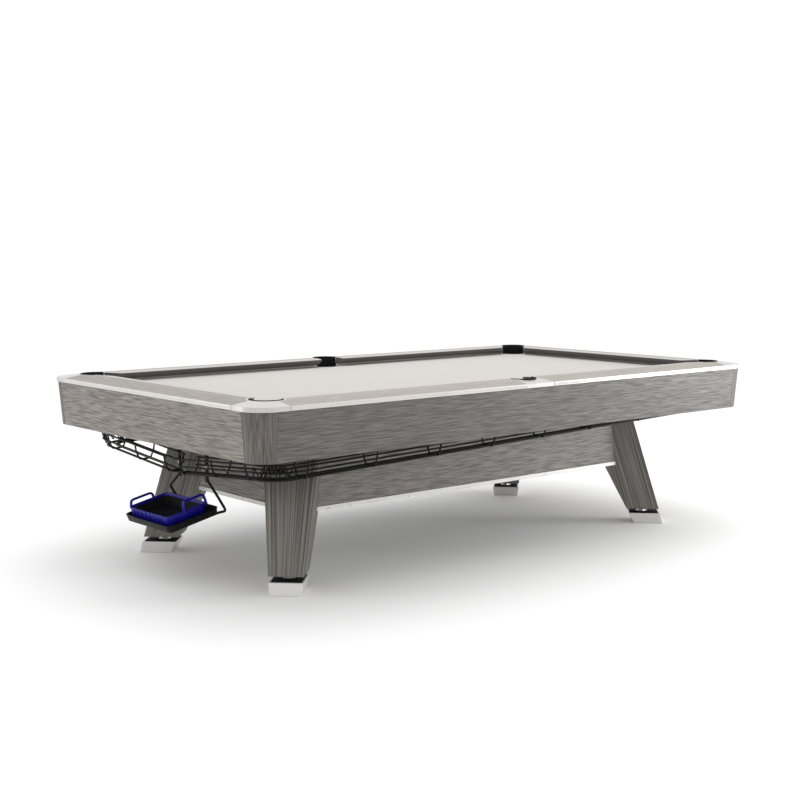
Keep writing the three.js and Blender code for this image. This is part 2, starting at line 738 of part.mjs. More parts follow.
// Half outline of a hoop, from the middle of its floor to its tip, as [across, above].
const HOOP_HALF = [
  [TRACK_FLOOR_WIDTH / 2, 0],
  [TRACK_WIDTH / 2 - TRACK_HIP_INSET, TRACK_HIP_HEIGHT],
  [TRACK_WIDTH / 2, TRACK_DEPTH],
];

// A flat hoop in the plane across the track, with its bar HOOP_BAR thick.
function hoop(centre, heading, armHeight) {
  const tip = HOOP_HALF[2];
  const side = armHeight > TRACK_DEPTH ? [...HOOP_HALF, [tip[0], armHeight]] : HOOP_HALF;
  const inner = side.map(([across, above]) => [across, above]);
  const outer = side.map(([across, above], index) =>
    [across + HOOP_BAR, index === 0 ? above - HOOP_BAR : above]);
  const rightSide = [...outer, ...inner.slice().reverse()];
  const outline = [
    ...rightSide,
    ...inner.map(([across, above]) => [-across, above]),
    ...outer.slice().reverse().map(([across, above]) => [-across, above]),
  ];
  const shape = new THREE.Shape(outline.map(([x, y]) => new THREE.Vector2(x, y)));
  const geometry = new THREE.ExtrudeGeometry(shape, { depth: HOOP_BAR, bevelEnabled: false });
  geometry.translate(0, 0, -HOOP_BAR / 2);
  const up = new THREE.Vector3(0, 0, 1);
  const across = up.clone().cross(heading);
  geometry.applyMatrix4(new THREE.Matrix4().makeBasis(across, up, heading));
  geometry.applyMatrix4(new THREE.Matrix4().makeTranslation(centre.x, centre.y, centre.z));
  return solid(geometry);
}

// Places along a straight run from one point to another, evenly spaced, both ends included.
function stations(from, to, spacing) {
  const count = Math.max(1, Math.round(from.distanceTo(to) / spacing));
  const places = [];
  for (let step = 0; step <= count; step += 1) {
    places.push(from.clone().lerp(to, step / count));
  }
  return places;
}

function frontTrack() {
  const wires = [
    [TRACK_FLOOR_WIDTH / 2 - RAIL_WIRE_RADIUS, 0, RAIL_WIRE_RADIUS],
    [TRACK_WIDTH / 2 - TRACK_HIP_INSET, TRACK_HIP_HEIGHT, WIRE_RADIUS],
    [TRACK_WIDTH / 2, TRACK_DEPTH - 2 * WIRE_RADIUS, WIRE_RADIUS],
  ];
  const bodies = [];
  for (const [across, above, radius] of wires) {
    bodies.push(wire(besideTrack(across, above), radius));
    bodies.push(wire(besideTrack(-across, above), radius));
  }
  const last = CENTRE_LINE.length - 1;
  const along = CENTRE_LINE[1].clone().sub(CENTRE_LINE[0]).normalize();
  const cross = CENTRE_LINE[last].clone().sub(CENTRE_LINE[last - 1]).normalize();
  const level = (direction) => direction.clone().setZ(0).normalize();

  // Tall hoops reach up to the cross beams and carry the track; low ones stand between them.
  const head = CENTRE_LINE[0].clone().addScaledVector(along, HOOP_FROM_END);
  const carried = BEAM_XS.map((x) => {
    const share = (head.x - x) / (head.x - CENTRE_LINE[1].x);
    return head.clone().lerp(CENTRE_LINE[1], share);
  }).reverse();
  for (const place of carried) {
    bodies.push(hoop(place, level(along), BEAM_BOTTOM - GAP - place.z));
  }
  bodies.push(hoop(head, level(along), TRACK_DEPTH));
  carried.slice(1).forEach((place, index) => {
    for (const between of stations(carried[index], place, HOOP_SPACING).slice(1, -1)) {
      bodies.push(hoop(between, level(along), TRACK_DEPTH));
    }
  });

  // Low hoops only on the run across the foot end.
  const afterBend = CENTRE_LINE[last - 1].clone().addScaledVector(cross, HOOP_FROM_END);
  const tail = CENTRE_LINE[last].clone().addScaledVector(cross, -HOOP_FROM_END);
  for (const place of stations(afterBend, tail, HOOP_SPACING)) {
    bodies.push(hoop(place, level(cross), TRACK_DEPTH));
  }
  return bodies;
}

const trackBodies = frontTrack();
const backTrackBodies = trackBodies.map((body) => body.mirror([0, 1, 0])).reverse();
addPiece('ball_track_front', union(trackBodies), BLACK_WIRE);
addPiece('ball_track_back', union(backTrackBodies), BLACK_WIRE);

// ---------------------------------------------------------------- trays

// In the tray's own frame +X runs up the slope from the foot end and +Z is square to its floor.
const trayGroup = new THREE.Group();
trayGroup.position.set(TRAY_FRONT_X, 0, TRAY_FRONT_Z);
trayGroup.rotation.y = -TRAY_TILT;
table.add(trayGroup);

const openTray = (length, width, height, wall) =>
  box(0, length, -width / 2, width / 2, 0, height)
    .subtract(box(wall, length - wall, -width / 2 + wall, width / 2 - wall, wall, height + PAST));

const linerTray = openTray(TRAY_LENGTH, TRAY_WIDTH, LINER_TRAY_HEIGHT, TRAY_WALL);
addPiece('liner_tray', linerTray, BLACK_PLASTIC, trayGroup);

// Each side carries a raised handle with a slot for the fingers. The back one stands
// toward the foot end of its side and the front one, which is taller, toward the head end.
function ballTray() {
  const body = openTray(BALL_TRAY_LENGTH, BALL_TRAY_WIDTH, BALL_TRAY_HEIGHT, TRAY_WALL);
  const handle = (y0, from, height) => {
    const to = from + HANDLE_LENGTH;
    const top = BALL_TRAY_HEIGHT + height;
    const grip = box(from, to, y0, y0 + 2 * TRAY_WALL, BALL_TRAY_HEIGHT - HANDLE_ROOT, top);
    const slot = box(
      from + HANDLE_POST, to - HANDLE_POST,
      y0 - PAST, y0 + 2 * TRAY_WALL + PAST,
      BALL_TRAY_HEIGHT, top - HANDLE_BAR,
    );
    return grip.subtract(slot);
  };
  const back = handle(BALL_TRAY_WIDTH / 2 - 2 * TRAY_WALL, BACK_HANDLE_FROM, BACK_HANDLE_HEIGHT);
  const frontFrom = BALL_TRAY_LENGTH - HANDLE_LENGTH;
  const front = handle(-BALL_TRAY_WIDTH / 2, frontFrom, FRONT_HANDLE_HEIGHT);
  const inset = TRAY_WALL + BALL_TRAY_FRONT_GAP;
  return union([body, back, front]).translate([inset, 0, TRAY_WALL + GAP]);
}

addPiece('ball_tray', ballTray(), BLUE_PLASTIC, trayGroup);

// ---------------------------------------------------------------- tray hangers

// The bars hang just inside the trough that crosses the foot end.
const HANGER_BAR_X = -TRACK_CROSS_X + TRACK_WIDTH / 2 + HOOP_BAR + HANGER_TRACK_GAP;
const HANGER_X = HANGER_BAR_X + HANGER_BAR_THICKNESS / 2;

// A flat bar hangs from the slate; a rod bends outward from it and runs under the tray.
function trayHanger(sy) {
  const [y0, y1] = [sy * HANGER_Y - HANGER_BAR_WIDTH / 2, sy * HANGER_Y + HANGER_BAR_WIDTH / 2];
  const barBack = HANGER_BAR_X + HANGER_BAR_THICKNESS;
  const bar = box(HANGER_BAR_X, barBack, y0, y1, HANGER_BAR_BOTTOM, SLATE_BOTTOM - GAP);
  const armY = sy * (TRAY_WIDTH / 2 + HANGER_ROD_RADIUS + HANGER_ARM_GAP);
  const shelfY = sy * (TRAY_WIDTH / 2 - HANGER_SHELF_INSET);
  const drop = HANGER_ROD_RADIUS + HANGER_ARM_GAP;
  // Height just below the tray's floor at a distance up the slope.
  const under = (along) => {
    const x = TRAY_FRONT_X + along * Math.cos(TRAY_TILT) + drop * Math.sin(TRAY_TILT);
    const z = TRAY_FRONT_Z + along * Math.sin(TRAY_TILT) - drop * Math.cos(TRAY_TILT);
    return [x, z];
  };
  const [backX, backZ] = under(TRAY_LENGTH + HANGER_BACK_REACH);
  const [frontX, frontZ] = under(HANGER_FRONT_STOP);
  const rod = wire([
    new THREE.Vector3(HANGER_X, sy * HANGER_Y, HANGER_BAR_BOTTOM + HANGER_ROD_LIFT),
    new THREE.Vector3(HANGER_X, armY, (HANGER_BAR_BOTTOM + backZ) / 2 + HANGER_ROD_LIFT),
    new THREE.Vector3(backX + HANGER_ROD_RADIUS, armY, backZ + HANGER_ROD_LIFT),
    new THREE.Vector3(backX, shelfY, backZ),
    new THREE.Vector3(frontX, shelfY, frontZ),
  ], HANGER_ROD_RADIUS, 6);
  return bar.add(rod);
}

for (const { name, sy } of SIDES) {
  addPiece(`tray_hanger_${name}`, trayHanger(sy), BLACK_WIRE);
}

export default table;
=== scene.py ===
import math

import bmesh
import bpy
from mathutils import Matrix, Vector
from mathutils.geometry import tessellate_polygon


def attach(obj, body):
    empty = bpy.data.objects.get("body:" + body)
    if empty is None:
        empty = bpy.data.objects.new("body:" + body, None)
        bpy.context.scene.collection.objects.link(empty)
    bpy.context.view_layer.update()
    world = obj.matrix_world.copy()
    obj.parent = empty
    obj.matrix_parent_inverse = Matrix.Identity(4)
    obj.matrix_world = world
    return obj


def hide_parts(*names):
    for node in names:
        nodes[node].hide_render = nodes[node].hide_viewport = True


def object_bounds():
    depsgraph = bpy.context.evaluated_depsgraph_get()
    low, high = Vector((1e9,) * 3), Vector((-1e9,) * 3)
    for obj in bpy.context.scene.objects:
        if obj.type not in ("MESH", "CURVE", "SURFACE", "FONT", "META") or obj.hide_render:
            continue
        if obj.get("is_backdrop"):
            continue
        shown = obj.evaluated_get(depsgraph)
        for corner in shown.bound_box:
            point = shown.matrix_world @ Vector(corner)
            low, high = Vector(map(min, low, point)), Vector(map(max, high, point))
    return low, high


# A nine-foot pool table: looks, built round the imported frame.
# Sizes here are in millimetres and become metres when a mesh is made.

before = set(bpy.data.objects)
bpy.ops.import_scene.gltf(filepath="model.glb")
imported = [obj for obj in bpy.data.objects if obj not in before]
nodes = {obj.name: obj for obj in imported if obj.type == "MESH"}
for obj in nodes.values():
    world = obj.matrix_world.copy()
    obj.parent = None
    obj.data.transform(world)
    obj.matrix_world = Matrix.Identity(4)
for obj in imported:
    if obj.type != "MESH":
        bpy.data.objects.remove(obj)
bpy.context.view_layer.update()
MM = 0.001
TURN = 2 * math.pi

# ---------------------------------------------------------------- sizes shared with the frame

NOSE_X, NOSE_Y = 1270, 635
OUTER_X, OUTER_Y = 1445, 810
CLOTH_Z = 750
CREST_Z = 792
MOULDING_BOTTOM, MOULDING_TOP = 762, 780
SLATE_X, SLATE_Y = 1380, 745
BEAM_XS = (-1130, -460, 460, 1130)
BEAM_BOTTOM = 642.3
CORNER_POCKET = (1295, 660, 57)
SIDE_POCKET = (0, 693, 55)
LINER_WALL = 5
LINER_BOTTOM = 640
BED_X, BED_Y = 1320.4, 685.4
BASE_X, BASE_Y = 1002, 440
BASE_BOTTOM = 292
LEG_X, LEG_Y = 1001, 410
CORNERS = [
    ("foot_front", -1, -1),
    ("foot_back", -1, 1),
    ("head_front", 1, -1),
    ("head_back", 1, 1),
]
SIDES = [("front", -1), ("back", 1)]
ENDS = [("foot", -1), ("head", 1)]

# ---------------------------------------------------------------- camera

CAMERA_PLACE = (-4.1442, -4.8004, 1.3565)
CAMERA_YAW = math.radians(49.84)
CAMERA_DIP = math.radians(6.47)

camera = bpy.data.objects.new("camera", bpy.data.cameras.new("camera"))
bpy.context.scene.collection.objects.link(camera)
camera.data.sensor_width = 36
camera.data.lens = 61.56
camera.location = CAMERA_PLACE
looking = Vector((
    math.cos(CAMERA_YAW) * math.cos(CAMERA_DIP),
    math.sin(CAMERA_YAW) * math.cos(CAMERA_DIP),
    -math.sin(CAMERA_DIP),
))
camera.rotation_mode = "QUATERNION"
camera.rotation_quaternion = looking.to_track_quat("-Z", "Y")
bpy.context.scene.camera = camera

# ---------------------------------------------------------------- materials


class Paint:
    """A material under construction: nodes are added and linked by short calls."""

    def __init__(self, name, color, roughness, **sockets):
        self.material = bpy.data.materials.new(name)
        self.material.use_nodes = True
        self.tree = self.material.node_tree
        self.shader = self.tree.nodes["Principled BSDF"]
        self.shader.inputs["Base Color"].default_value = (*color, 1)
        self.shader.inputs["Roughness"].default_value = roughness
        for socket, value in sockets.items():
            self.shader.inputs[socket.replace("_", " ")].default_value = value
        self.where = self.tree.nodes.new("ShaderNodeTexCoord").outputs["Object"]

    def node(self, kind, **values):
        made = self.tree.nodes.new(kind)
        for key, value in values.items():
            if key in made.inputs:
                made.inputs[key].default_value = value
            else:
                setattr(made, key, value)
        return made

    def link(self, source, target):
        self.tree.links.new(source, target)

    def noise(self, scale, detail=4.0, roughness=0.6, distortion=0.0):
        """Noise whose scale is given for each axis, in cells a metre."""
        mapping = self.node("ShaderNodeMapping")
        mapping.inputs["Scale"].default_value = scale
        self.link(self.where, mapping.inputs["Vector"])
        noise = self.node("ShaderNodeTexNoise", Scale=1.0, Detail=detail)
        noise.inputs["Roughness"].default_value = roughness
        noise.inputs["Distortion"].default_value = distortion
        self.link(mapping.outputs["Vector"], noise.inputs["Vector"])
        return noise.outputs["Fac"]

    def ramp(self, factor, stops):
        """A colour ramp through (place, colour) stops."""
        ramp = self.node("ShaderNodeValToRGB")
        elements = ramp.color_ramp.elements
        while len(elements) < len(stops):
            elements.new(0.5)
        for element, (place, color) in zip(elements, stops):
            element.position = place
            element.color = (*color, 1)
        self.link(factor, ramp.inputs["Fac"])
        return ramp.outputs["Color"]

    def multiply(self, first, second, amount=1.0):
        mix = self.node("ShaderNodeMix", data_type="RGBA", blend_type="MULTIPLY")
        mix.inputs["Factor"].default_value = amount
        self.link(first, mix.inputs["A"])
        self.link(second, mix.inputs["B"])
        return mix.outputs["Result"]

    def spread(self, factor, low, high):
        """A factor from 0.3 to 0.7 spread from low to high."""
        span = self.node("ShaderNodeMapRange")
        span.inputs["From Min"].default_value = 0.3
        span.inputs["From Max"].default_value = 0.7
        span.inputs["To Min"].default_value = low
        span.inputs["To Max"].default_value = high
        self.link(factor, span.inputs["Value"])
        return span.outputs["Result"]

    def follow_lean(self, lean):
        """Slants the coordinates, so that grain follows a piece that leans out at its foot."""
        split = self.node("ShaderNodeSeparateXYZ")
        self.link(self.where, split.inputs["Vector"])
        joined = self.node("ShaderNodeCombineXYZ")
        self.link(split.outputs["Z"], joined.inputs["Z"])
        for axis in "XY":
            size = self.node("ShaderNodeMath", operation="ABSOLUTE")
            self.link(split.outputs[axis], size.inputs[0])
            slant = self.node("ShaderNodeMath", operation="MULTIPLY_ADD")
            self.link(split.outputs["Z"], slant.inputs[0])
            slant.inputs[1].default_value = lean
            self.link(size.outputs["Value"], slant.inputs[2])
            self.link(slant.outputs["Value"], joined.inputs[axis])
        self.where = joined.outputs["Vector"]

    def follow_leg(self):
        """Coordinates along and across a leg, so that its grain runs with its slanting edges."""
        split = self.node("ShaderNodeSeparateXYZ")
        self.link(self.where, split.inputs["Vector"])
        height = split.outputs["Z"]

        def math_node(operation, *values):
            made = self.node("ShaderNodeMath", operation=operation)
            for index, value in enumerate(values):
                if isinstance(value, float):
                    made.inputs[index].default_value = value
                else:
                    self.link(value, made.inputs[index])
            return made.outputs["Value"]

        size_x = math_node("ABSOLUTE", split.outputs["X"])
        size_y = math_node("ABSOLUTE", split.outputs["Y"])
        outward = math_node("ADD", size_x, size_y)
        across = math_node("SUBTRACT", size_y, size_x)
        across = math_node("MULTIPLY_ADD", across, DIAGONAL, (LEG_X - LEG_Y) * DIAGONAL * MM)
        half = math_node("MULTIPLY_ADD", height, LEG_TAPER, LEG_HALF_AT_FLOOR)
        joined = self.node("ShaderNodeCombineXYZ")
        straight = math_node("DIVIDE", across, half)
        self.link(math_node("MULTIPLY", straight, 0.1), joined.inputs["X"])
        flush = math_node("MULTIPLY", outward, DIAGONAL)
        self.link(math_node("MULTIPLY_ADD", height, LEG_LEAN, flush), joined.inputs["Y"])
        self.link(height, joined.inputs["Z"])
        self.where = joined.outputs["Vector"]

    def facing_up(self):
        """The upward part of the surface's direction: 1 straight up, 0 sideways and -1 down."""
        place = self.node("ShaderNodeTexCoord")
        split = self.node("ShaderNodeSeparateXYZ")
        self.link(place.outputs["Normal"], split.inputs["Vector"])
        return split.outputs["Z"]

    def color(self, source):
        self.link(source, self.shader.inputs["Base Color"])

    def roughness(self, factor, low, high):
        self.link(self.spread(factor, low, high), self.shader.inputs["Roughness"])

    def bump(self, height, strength, distance):
        bump = self.node("ShaderNodeBump", Strength=strength, Distance=distance)
        self.link(height, bump.inputs["Height"])
        self.link(bump.outputs["Normal"], self.shader.inputs["Normal"])


def along(axis, lengthwise, crosswise):
    """A scale for each axis, coarse along the grain's axis and fine across it."""
    return [lengthwise if index == axis else crosswise for index in range(3)]


def grey(value, warmth=0.0):
    return (value * (1 + warmth), value, value * (1 - warmth))


WOOD_WARMTH = 0.11
DIAGONAL = math.sqrt(0.5)
# A leg's half width at the floor, and its growth and its lean for each metre of height.
LEG_HALF_AT_FLOOR = 0.064
LEG_TAPER = 0.09
LEG_LEAN = 0.3067


def wood(name, axis, dark, light, sheen=0.5, length=11, lean=0.0, leg=False):
    """Streaky grey laminate with its grain along one axis. length is streaks a metre along the grain.

    lean is how far an upright piece goes outwards for each metre that it goes down, and leg
    makes the grain follow a leg's edges instead.
    """
    paint = Paint(name, grey(light), 0.5)
    if lean:
        paint.follow_lean(lean)
    if leg:
        paint.follow_leg()
    streaks = paint.noise(along(axis, length, 330), 2, 0.4)
    bands = paint.noise(along(axis, length / 6, 90), 2, 0.5)
    hairs = paint.noise(along(axis, 3 * length, 900), 2, 0.5)
    body = paint.ramp(streaks, [
        (0.38, grey(dark, WOOD_WARMTH)),
        (0.5, grey((dark + light) / 2, WOOD_WARMTH)),
        (0.6, grey(light, WOOD_WARMTH)),
    ])
    shade = paint.ramp(bands, [(0.35, grey(0.89)), (0.65, grey(1.0))])
    pores = paint.ramp(hairs, [(0.36, grey(0.72)), (0.5, grey(1.0))])
    paint.color(paint.multiply(paint.multiply(body, shade), pores, 0.5))
    paint.roughness(streaks, sheen + 0.1, sheen - 0.1)
    paint.bump(hairs, 0.2, 0.0002)
    return paint.material


def cloth(name, color, side=None):
    """Worsted billiard cloth: a fine weave under a short nap. side is a painted shade that darkens the
    faces turned sideways or down.
    """
    paint = Paint(name, color, 0.92, Sheen_Weight=0.15, Sheen_Roughness=0.5)
    weave = paint.noise((1900, 1900, 1900), 2, 0.5)
    nap = paint.noise((26, 26, 26), 4, 0.6)
    low = tuple(0.9 * part for part in color)
    fuzz = paint.ramp(weave, [(0.3, low), (0.7, color)])
    wear = paint.ramp(nap, [(0.3, grey(0.955)), (0.7, grey(1.0))])
    tone = paint.multiply(fuzz, wear)
    if side:
        # Painted shade: the colour goes towards side where the surface turns from up to sideways or
        # down.
        tone = paint.multiply(tone, paint.ramp(paint.facing_up(), [(0.55, side), (0.8, grey(1.0))]))
    paint.color(tone)
    paint.roughness(nap, 0.88, 0.96)
    paint.bump(weave, 0.35, 0.0002)
    return paint.material


def metal(name, value, axis, roughness, metallic=0.35):
    """Satin lacquered metal, brushed along one axis."""
    paint = Paint(name, grey(value, 0.03), roughness, Metallic=metallic, Coat_Weight=0.3)
    brush = paint.noise(along(axis, 8, 900), 3, 0.6)
    cloud = paint.noise((7, 7, 7), 2, 0.5)
    tone = paint.ramp(brush, [
        (0.3, grey(value * 0.95, 0.03)),
        (0.7, grey(value, 0.03)),
    ])
    smudge = paint.ramp(cloud, [(0.3, grey(0.96)), (0.7, grey(1.0))])
    paint.color(paint.multiply(tone, smudge))
    paint.roughness(cloud, roughness - 0.04, roughness + 0.05)
    paint.bump(cloud, 0.1, 0.0003)
    return paint.material


def moulded(name, color, roughness, grain, strength=0.2, **sockets):
    """Moulded plastic, rubber or powder coat with a fine surface grain and faint scuffs."""
    paint = Paint(name, color, roughness, **sockets)
    fine = paint.noise((grain, grain, grain), 3, 0.6)
    scuffs = paint.noise((60, 35, 45), 5, 0.7, 0.6)
    low = tuple(0.78 * part for part in color)
    tone = paint.ramp(fine, [(0.3, low), (0.7, color)])
    worn = paint.ramp(scuffs, [(0.3, grey(0.85)), (0.62, grey(1.0))])
    paint.color(paint.multiply(tone, worn))
    paint.roughness(scuffs, roughness - 0.08, roughness + 0.1)
    paint.bump(fine, strength, 0.0003)
    return paint.material


def plywood_material():
    """Pale plywood with darker veneer lines."""
    paint = Paint("plywood", (0.45, 0.31, 0.17), 0.75)
    grain = paint.noise((30, 3, 200), 5, 0.6, 0.4)
    plies = paint.noise((0.5, 0.5, 420), 1, 0.5)
    tone = paint.ramp(grain, [(0.3, (0.33, 0.21, 0.11)), (0.7, (0.5, 0.36, 0.21))])
    lines = paint.ramp(plies, [(0.4, grey(0.72)), (0.55, grey(1.0))])
    paint.color(paint.multiply(tone, lines))
    paint.roughness(grain, 0.7, 0.85)
    paint.bump(grain, 0.3, 0.0005)
    return paint.material


# The front and back aprons are the same grey laminate made darker than the other laminate pieces, as
# painted shade.
APRON_SHADED_X = wood("apron_laminate_painted_shade", 0, 0.06, 0.128)
WOOD_X = wood("laminate_along", 0, 0.085, 0.19)
WOOD_Y = wood("laminate_across", 1, 0.1, 0.235)
POST_Z = wood("post_laminate", 2, 0.045, 0.14, length=1.5, lean=-0.084)
WOOD_Z = wood("laminate_upright", 2, 0.06, 0.2, length=1.5, leg=True)
# The rail tops are the same grey laminate made lighter, as painted light from overhead.
RAIL_LIT_X = wood("rail_top_painted_light_along", 0, 0.31, 0.355, 0.45)
RAIL_LIT_Y = wood("rail_top_painted_light_across", 1, 0.235, 0.28, 0.45)
BED_CLOTH = cloth("billiard_cloth", (0.57, 0.54, 0.51))
# The cushion cloth carries a painted shade on its faces turned sideways or down.
CUSHION_CLOTH_SHADED_SIDES = cloth("cushion_cloth", (0.52, 0.5, 0.48), (0.19, 0.18, 0.185))
CASTING = metal("satin_casting", 0.52, 0, 0.34)
STRIP_X = metal("moulding_strip_along", 0.6, 0, 0.28)
STRIP_Y = metal("moulding_strip_across", 0.6, 1, 0.28)
SHOE = metal("satin_shoe", 0.64, 2, 0.36)
STEEL = metal("zinc_steel", 0.6, 2, 0.3, 0.9)
RUBBER = moulded("pocket_rubber", (0.008, 0.008, 0.009), 0.7, 900, 0.35, Specular_IOR_Level=0.15)
WIRE = moulded("black_coated_wire", (0.007, 0.0065, 0.006), 0.4, 500, 0.2, Specular_IOR_Level=0.16)
BLACK = moulded("black_moulding", (0.005, 0.005, 0.006), 0.4, 700, 0.3, Specular_IOR_Level=0.14)
BLUE = moulded("blue_moulding", (0.009, 0.008, 0.25), 0.32, 420, 0.1, Specular_IOR_Level=0.25)
MAT = moulded("black_tray_mat", (0.006, 0.006, 0.008), 0.8, 1200, 0.5, Specular_IOR_Level=0.2)
STONE = moulded("slate_stone", (0.085, 0.09, 0.095), 0.75, 160, 0.4)
PLYWOOD = plywood_material()

# ---------------------------------------------------------------- meshes


def add_mesh(name, points, faces, material, body="table", replaces=(), flat_beyond=35):
    """A piece from points in millimetres, smooth-shaded except at edges sharper than an angle."""
    mesh = bpy.data.meshes.new(name)
    mesh.from_pydata([Vector(point) * MM for point in points], [], faces)
    return add_piece(name, mesh, material, body, replaces, flat_beyond)


def add_piece(name, mesh, material, body="table", replaces=(), flat_beyond=35):
    working = bmesh.new()
    working.from_mesh(mesh)
    bmesh.ops.recalc_face_normals(working, faces=working.faces)
    working.to_mesh(mesh)
    working.free()
    mesh.materials.clear()
    mesh.materials.append(material)
    mesh.polygons.foreach_set("use_smooth", [True] * len(mesh.polygons))
    mesh.set_sharp_from_angle(angle=math.radians(flat_beyond))
    piece = bpy.data.objects.new(name, mesh)
    bpy.context.scene.collection.objects.link(piece)
    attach(piece, body)
    if replaces:
        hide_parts(*replaces)
    return piece


def weigh_normals(piece):
    """Keeps wide faces flat-looking beside their narrow rounded edges."""
    piece.modifiers.new("normals", "WEIGHTED_NORMAL").keep_sharp = True
    return piece


def bevelled(mesh, width, segments=2, sharper=25):
    """Rounds the edges of a mesh that turn by more than an angle. The width is in millimetres."""
    working = bmesh.new()
    working.from_mesh(mesh)
    bmesh.ops.remove_doubles(working, verts=working.verts, dist=1e-5)
    bmesh.ops.dissolve_limit(
        working, angle_limit=math.radians(0.6), verts=working.verts, edges=working.edges,
    )
    edges = [
        edge for edge in working.edges
        if len(edge.link_faces) == 2 and edge.calc_face_angle() > math.radians(sharper)
    ]
    bmesh.ops.bevel(
        working, geom=edges, offset=width * MM, segments=segments,
        affect="EDGES", profile=0.5, clamp_overlap=True,
    )
    working.to_mesh(mesh)
    working.free()
    return mesh


def from_frame(node, material, width=1.2, name=None, segments=2):
    """A frame part's own shape with rounded edges and a finished surface."""
    mesh = bevelled(nodes[node].data.copy(), width, segments)
    piece = add_piece(name or node + "_finished", mesh, material, replaces=[node])
    return weigh_normals(piece)


def block(corners, width=1.5, segments=2):
    """A mesh from eight corners, four below and four above in the same order, with rounded edges."""
    mesh = bpy.data.meshes.new("block")
    faces = [(0, 3, 2, 1), (4, 5, 6, 7)]
    faces += [(i, (i + 1) % 4, (i + 1) % 4 + 4, i + 4) for i in range(4)]
    mesh.from_pydata([Vector(corner) * MM for corner in corners], [], faces)
    return bevelled(mesh, width, segments)


def bar(low, high, width=1.0):
    """A straight bar between two opposite corners."""
    (x0, y0, z0), (x1, y1, z1) = low, high
    ring = [(x0, y0), (x1, y0), (x1, y1), (x0, y1)]
    return block([(x, y, z) for z in (z0, z1) for x, y in ring], width)


class Shape:
    """Points and faces of one piece, gathered from several closed parts."""

    def __init__(self):
        self.points = []
        self.faces = []

    def add(self, points, faces):
        start = len(self.points)
        self.points += [tuple(point) for point in points]
        self.faces += [tuple(start + index for index in face) for face in faces]

    def rings(self, rings, closed_ends=True, joined=False):
        """Skins rings of equal count. The ends are closed, or the last ring meets the first."""
        count = len(rings[0])
        points = [point for ring in rings for point in ring]
        faces = []
        spans = len(rings) if joined else len(rings) - 1
        for step in range(spans):
            here = step * count
            there = (step + 1) % len(rings) * count
            for index in range(count):
                after = (index + 1) % count
                faces.append((here + index, here + after, there + after, there + index))
        if closed_ends and not joined:
            faces.append(tuple(range(count))[::-1])
            faces.append(tuple(range(len(points) - count, len(points))))
        self.add(points, faces)

    def tube(self, path, radius, sides=10, joined=False, across=None):
        """A round bar along a path. across, a second radius, makes its section an ellipse."""
        path = [Vector(point) for point in path]
        count = len(path)
        rings = []
        side = None
        for index, point in enumerate(path):
            before = path[index - 1] if index or joined else point
            after = path[(index + 1) % count] if index < count - 1 or joined else point
            heading = (after - before).normalized()
            if side is None:
                helper = Vector((0, 0, 1)) if abs(heading.z) < 0.9 else Vector((0, 1, 0))
                side = heading.cross(helper).normalized()
            side = (side - heading * side.dot(heading)).normalized()
            lift = side.cross(heading)
            second = radius if across is None else across
            rings.append([
                point + side * (second * math.cos(TURN * k / sides))
                + lift * (radius * math.sin(TURN * k / sides))
                for k in range(sides)
            ])
        self.rings(rings, joined=joined)

    def lathe(self, centre, axis, profile, sides=24):
        """A turned part: the profile is (radius, height) pairs along an axis, from end to end."""
        axis = Vector(axis).normalized()
        helper = Vector((0, 0, 1)) if abs(axis.z) < 0.9 else Vector((1, 0, 0))
        side = axis.cross(helper).normalized()
        lift = axis.cross(side)
        centre = Vector(centre)
        self.rings([
            [
                centre + axis * height
                + (side * math.cos(TURN * k / sides) + lift * math.sin(TURN * k / sides)) * radius
                for k in range(sides)
            ]
            for radius, height in profile
        ])

    def bolt(self, centre, axis, radius):
        """A dome-headed bolt on its washer."""
        self.lathe(centre, axis, [
            (radius * 1.7, 0), (radius * 1.7, 1.2), (radius * 1.6, 1.5), (radius, 1.5),
            (radius, 2.4), (radius * 0.86, 4), (radius * 0.5, 5.1), (radius * 0.1, 5.4),
        ], 16)

    def piece(self, name, material, slot, body="table", replaces=(), flat_beyond=40):
        return add_mesh(
            name, self.points, self.faces, material, body, replaces, flat_beyond,
        )


def rounded_path(points, radius, steps=5):
    """The path again, with each of its corners turned at a radius."""
    points = [Vector(point) for point in points]
    path = [points[0]]
    for before, corner, after in zip(points, points[1:], points[2:]):
        into = (corner - before).normalized()
        out = (after - corner).normalized()
        turn = into.angle(out)
        if turn < 0.02:
            path.append(corner)
            continue
        room = 0.45 * min((corner - before).length, (after - corner).length)
        cut = min(radius * math.tan(turn / 2), room)
        start, end = corner - into * cut, corner + out * cut
        for step in range(steps + 1):
            share = step / steps
            first = start.lerp(corner, share)
            path.append(first.lerp(corner.lerp(end, share), share))
    path.append(points[-1])
    return path


def rounded_ring(x0, x1, y0, y1, z, radius, steps=6):
    """Points round a rectangle with rounded corners, at one height."""
    ring = []
    quarters = [(x1, y1, -1, -1, 0), (x0, y1, 1, -1, 1), (x0, y0, 1, 1, 2), (x1, y0, -1, 1, 3)]
    for x, y, inward_x, inward_y, quarter in quarters:
        for step in range(steps + 1):
            angle = (quarter + step / steps) * TURN / 4
            ring.append((
                x + inward_x * radius + radius * math.cos(angle),
                y + inward_y * radius + radius * math.sin(angle),
                z,
            ))
    return ring


# ---------------------------------------------------------------- rails, castings and mouldings

for name, _ in SIDES:
    for end, _ in ENDS:
        from_frame(f"rail_{name}_{end}", RAIL_LIT_X, 2.0)
for end, _ in ENDS:
    from_frame(f"rail_{end}", RAIL_LIT_Y, 2.0)
for name, _, _ in CORNERS:
    from_frame(f"corner_casting_{name}", CASTING, 3.0, segments=3)
for name, _ in SIDES:
    from_frame(f"side_casting_{name}", CASTING, 2.0, segments=3)

